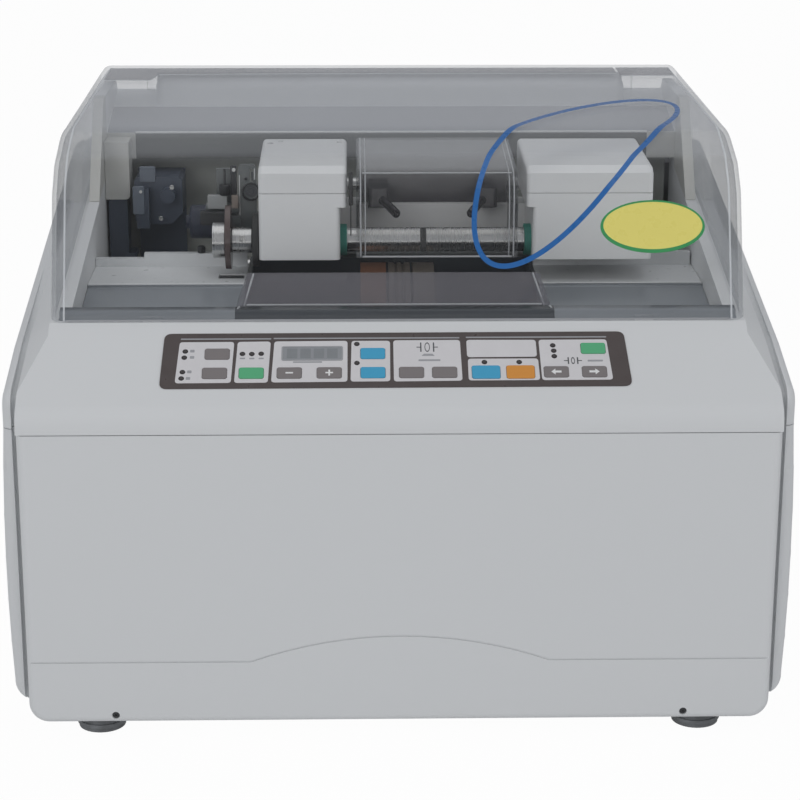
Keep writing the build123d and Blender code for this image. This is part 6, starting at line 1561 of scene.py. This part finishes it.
@dataclass
class CasingFittings:
    """Screws of the front casing, and the rear panel's blank plate and screws."""

    screw_x: float = 198.5
    screw_z: float = 17.5
    back_y: float = 466.5
    plate_at: Pair = (96.0, 190.0)
    plate_size: Pair = (86.0, 46.0)
    plate_lift: float = 0.5
    panel_screws: tuple[Pair, ...] = (
        (-250.0, 60.0), (250.0, 60.0), (-250.0, 280.0), (250.0, 280.0), (0.0, 60.0))
    plate_screws: tuple[Pair, ...] = ((57.0, 171.0), (135.0, 209.0))

    def build(self) -> None:
        """Make the fittings."""
        for side in (-1, 1):
            where = facing_front(side * self.screw_x, 2.6, self.screw_z)
            head = ((0.0, 0.5), (1.0, 0.5), (1.0, 1.3), (2.1, 1.3), (2.5, 0.9), (2.5, 0.0))
            Sketch.piece(f"casing_screw_{'left' if side < 0 else 'right'}",
                         Sketch.turned(head, where, 24), MOTOR_BLACK, Body.CASING)
        plate = [rounded_box(0, 0, *self.plate_size, 2.5)]
        x, z = self.plate_at
        where = facing_back(x, self.back_y + 0.02, z)
        Sketch.piece("rear_blank_plate", Sketch.plate(plate, 0.6, where, 0.15), INK_GREY,
                     Body.CASING)
        for number, (x, z) in enumerate(self.panel_screws + self.plate_screws, 1):
            lift = self.plate_lift if (x, z) in self.plate_screws else 0.0
            where = facing_back(x, self.back_y + lift, z)
            Sketch.piece(f"rear_screw_{number}", Sketch.turned(screw_head(2.8, 1.4), where, 24),
                         STEEL, Body.CASING)
        LOG.info("casing: front screws, rear plate and screws")


@dataclass
class Studio:
    """Floor, lamps and camera."""

    eye: Point = (-31.55, -1430.2, 684.2)
    yaw: float = 0.0216987
    pitch: float = 0.296706
    roll: float = 0.0016127
    focal_px: float = 2232.6
    frame_px: float = 800.0
    sensor_mm: float = 36.0
    floor_glow: float = 0.97
    floor_half: float = 6.0
    sky_strength: float = 0.42
    lamps: tuple[tuple[str, Point, Point, float, float], ...] = (
        ("overhead", (0.0, -0.1, 2.1), (0.0, 0.0, 0.3), 1.8, 6.0),
        ("front_left", (-1.5, -2.2, 1.3), (0.0, 0.0, 0.2), 1.4, 13.0),
        ("front_right", (1.8, -2.0, 1.1), (0.0, 0.0, 0.2), 1.4, 9.0))

    def camera(self) -> None:
        """Set the camera where the object is seen at its viewing angle."""
        ahead = Vector((math.sin(self.yaw) * math.cos(self.pitch),
                        math.cos(self.yaw) * math.cos(self.pitch), -math.sin(self.pitch)))
        level = Vector((math.cos(self.yaw), -math.sin(self.yaw), 0.0))
        up = level.cross(ahead)
        right = level * math.cos(self.roll) + up * math.sin(self.roll)
        top = up * math.cos(self.roll) - level * math.sin(self.roll)
        data = bpy.data.cameras.new("camera")
        data.sensor_width = self.sensor_mm
        data.lens = self.focal_px / self.frame_px * self.sensor_mm
        data.clip_end = 50.0
        item = bpy.data.objects.new("camera", data)
        bpy.context.scene.collection.objects.link(item)
        pose = Matrix((right, top, -ahead)).transposed().to_4x4()
        pose.translation = place(*self.eye)
        item.matrix_world = pose
        bpy.context.scene.camera = item

    def floor(self) -> None:
        """Lay a pale floor that keeps the object's shadow."""
        n = Nodes("studio_floor")
        rays = n.add("LightPath").outputs
        seen = n.calc("MAXIMUM", rays["Is Camera Ray"], rays["Is Glossy Ray"])
        either = n.calc("MAXIMUM", seen, rays["Is Transmission Ray"])
        share = n.calc("MULTIPLY", either, self.floor_glow)
        matt = n.add("BsdfDiffuse", Color=(0.86, 0.86, 0.86))
        glow = n.add("Emission", Color=(1.0, 1.0, 1.0), Strength=1.0)
        material = n.finish(n.layer(share, matt, glow))
        mesh = bpy.data.meshes.new("floor")
        half = self.floor_half
        mesh.from_pydata([(-half, -half, 0), (half, -half, 0), (half, half, 0), (-half, half, 0)],
                         [], [(0, 1, 2, 3)])
        mesh.materials.append(material)
        item = bpy.data.objects.new("floor", mesh)
        bpy.context.scene.collection.objects.link(item)

    def sky(self) -> None:
        """Light the scene from all round and show white behind the object."""
        world = bpy.data.worlds.new("studio")
        bpy.context.scene.world = world
        world.use_nodes = True
        tree = world.node_tree
        tree.nodes.clear()
        rays = tree.nodes.new("ShaderNodeLightPath")
        mix = tree.nodes.new("ShaderNodeMixShader")
        out = tree.nodes.new("ShaderNodeOutputWorld")
        tree.links.new(rays.outputs["Is Camera Ray"], mix.inputs[0])
        glows = (((0.86, 0.88, 0.92, 1.0), self.sky_strength), ((1.0, 1.0, 1.0, 1.0), 1.0))
        for socket, (colour, strength) in zip(mix.inputs[1:], glows):
            glow = tree.nodes.new("ShaderNodeBackground")
            glow.inputs["Color"].default_value = colour
            glow.inputs["Strength"].default_value = strength
            tree.links.new(glow.outputs[0], socket)
        tree.links.new(mix.outputs[0], out.inputs["Surface"])

    def lamp(self, name: str, at: Point, aim: Point, size: float, watts: float) -> None:
        """Hang a soft lamp.

        Args:
            name: Name of the lamp.
            at: Its place in metres.
            aim: Point that it faces.
            size: Side of the square lamp in metres.
            watts: Power.
        """
        data = bpy.data.lights.new(name, "AREA")
        data.shape = "SQUARE"
        data.size = size
        data.energy = watts
        item = bpy.data.objects.new(name, data)
        bpy.context.scene.collection.objects.link(item)
        direction = Vector(aim) - Vector(at)
        item.rotation_euler = direction.to_track_quat("-Z", "Y").to_euler()
        item.location = at

    def build(self) -> None:
        """Set up camera, floor, world and lamps."""
        self.camera()
        self.floor()
        self.sky()
        for lamp in self.lamps:
            self.lamp(*lamp)
        bpy.context.scene.view_settings.view_transform = "Standard"
        LOG.info("studio: floor, world, three lamps, camera")


def main() -> None:
    """Build every sub-assembly in order."""
    logging.basicConfig(level=logging.INFO, format="%(message)s")
    CadSurfaces().dress()
    Console().build()
    HoodPrint().build()
    LeftGear().build()
    WellFittings().build()
    GuardTrim().build()
    SplashTrim().build()
    CasingFittings().build()
    Studio().build()


if __name__ == "__main__":
    main()
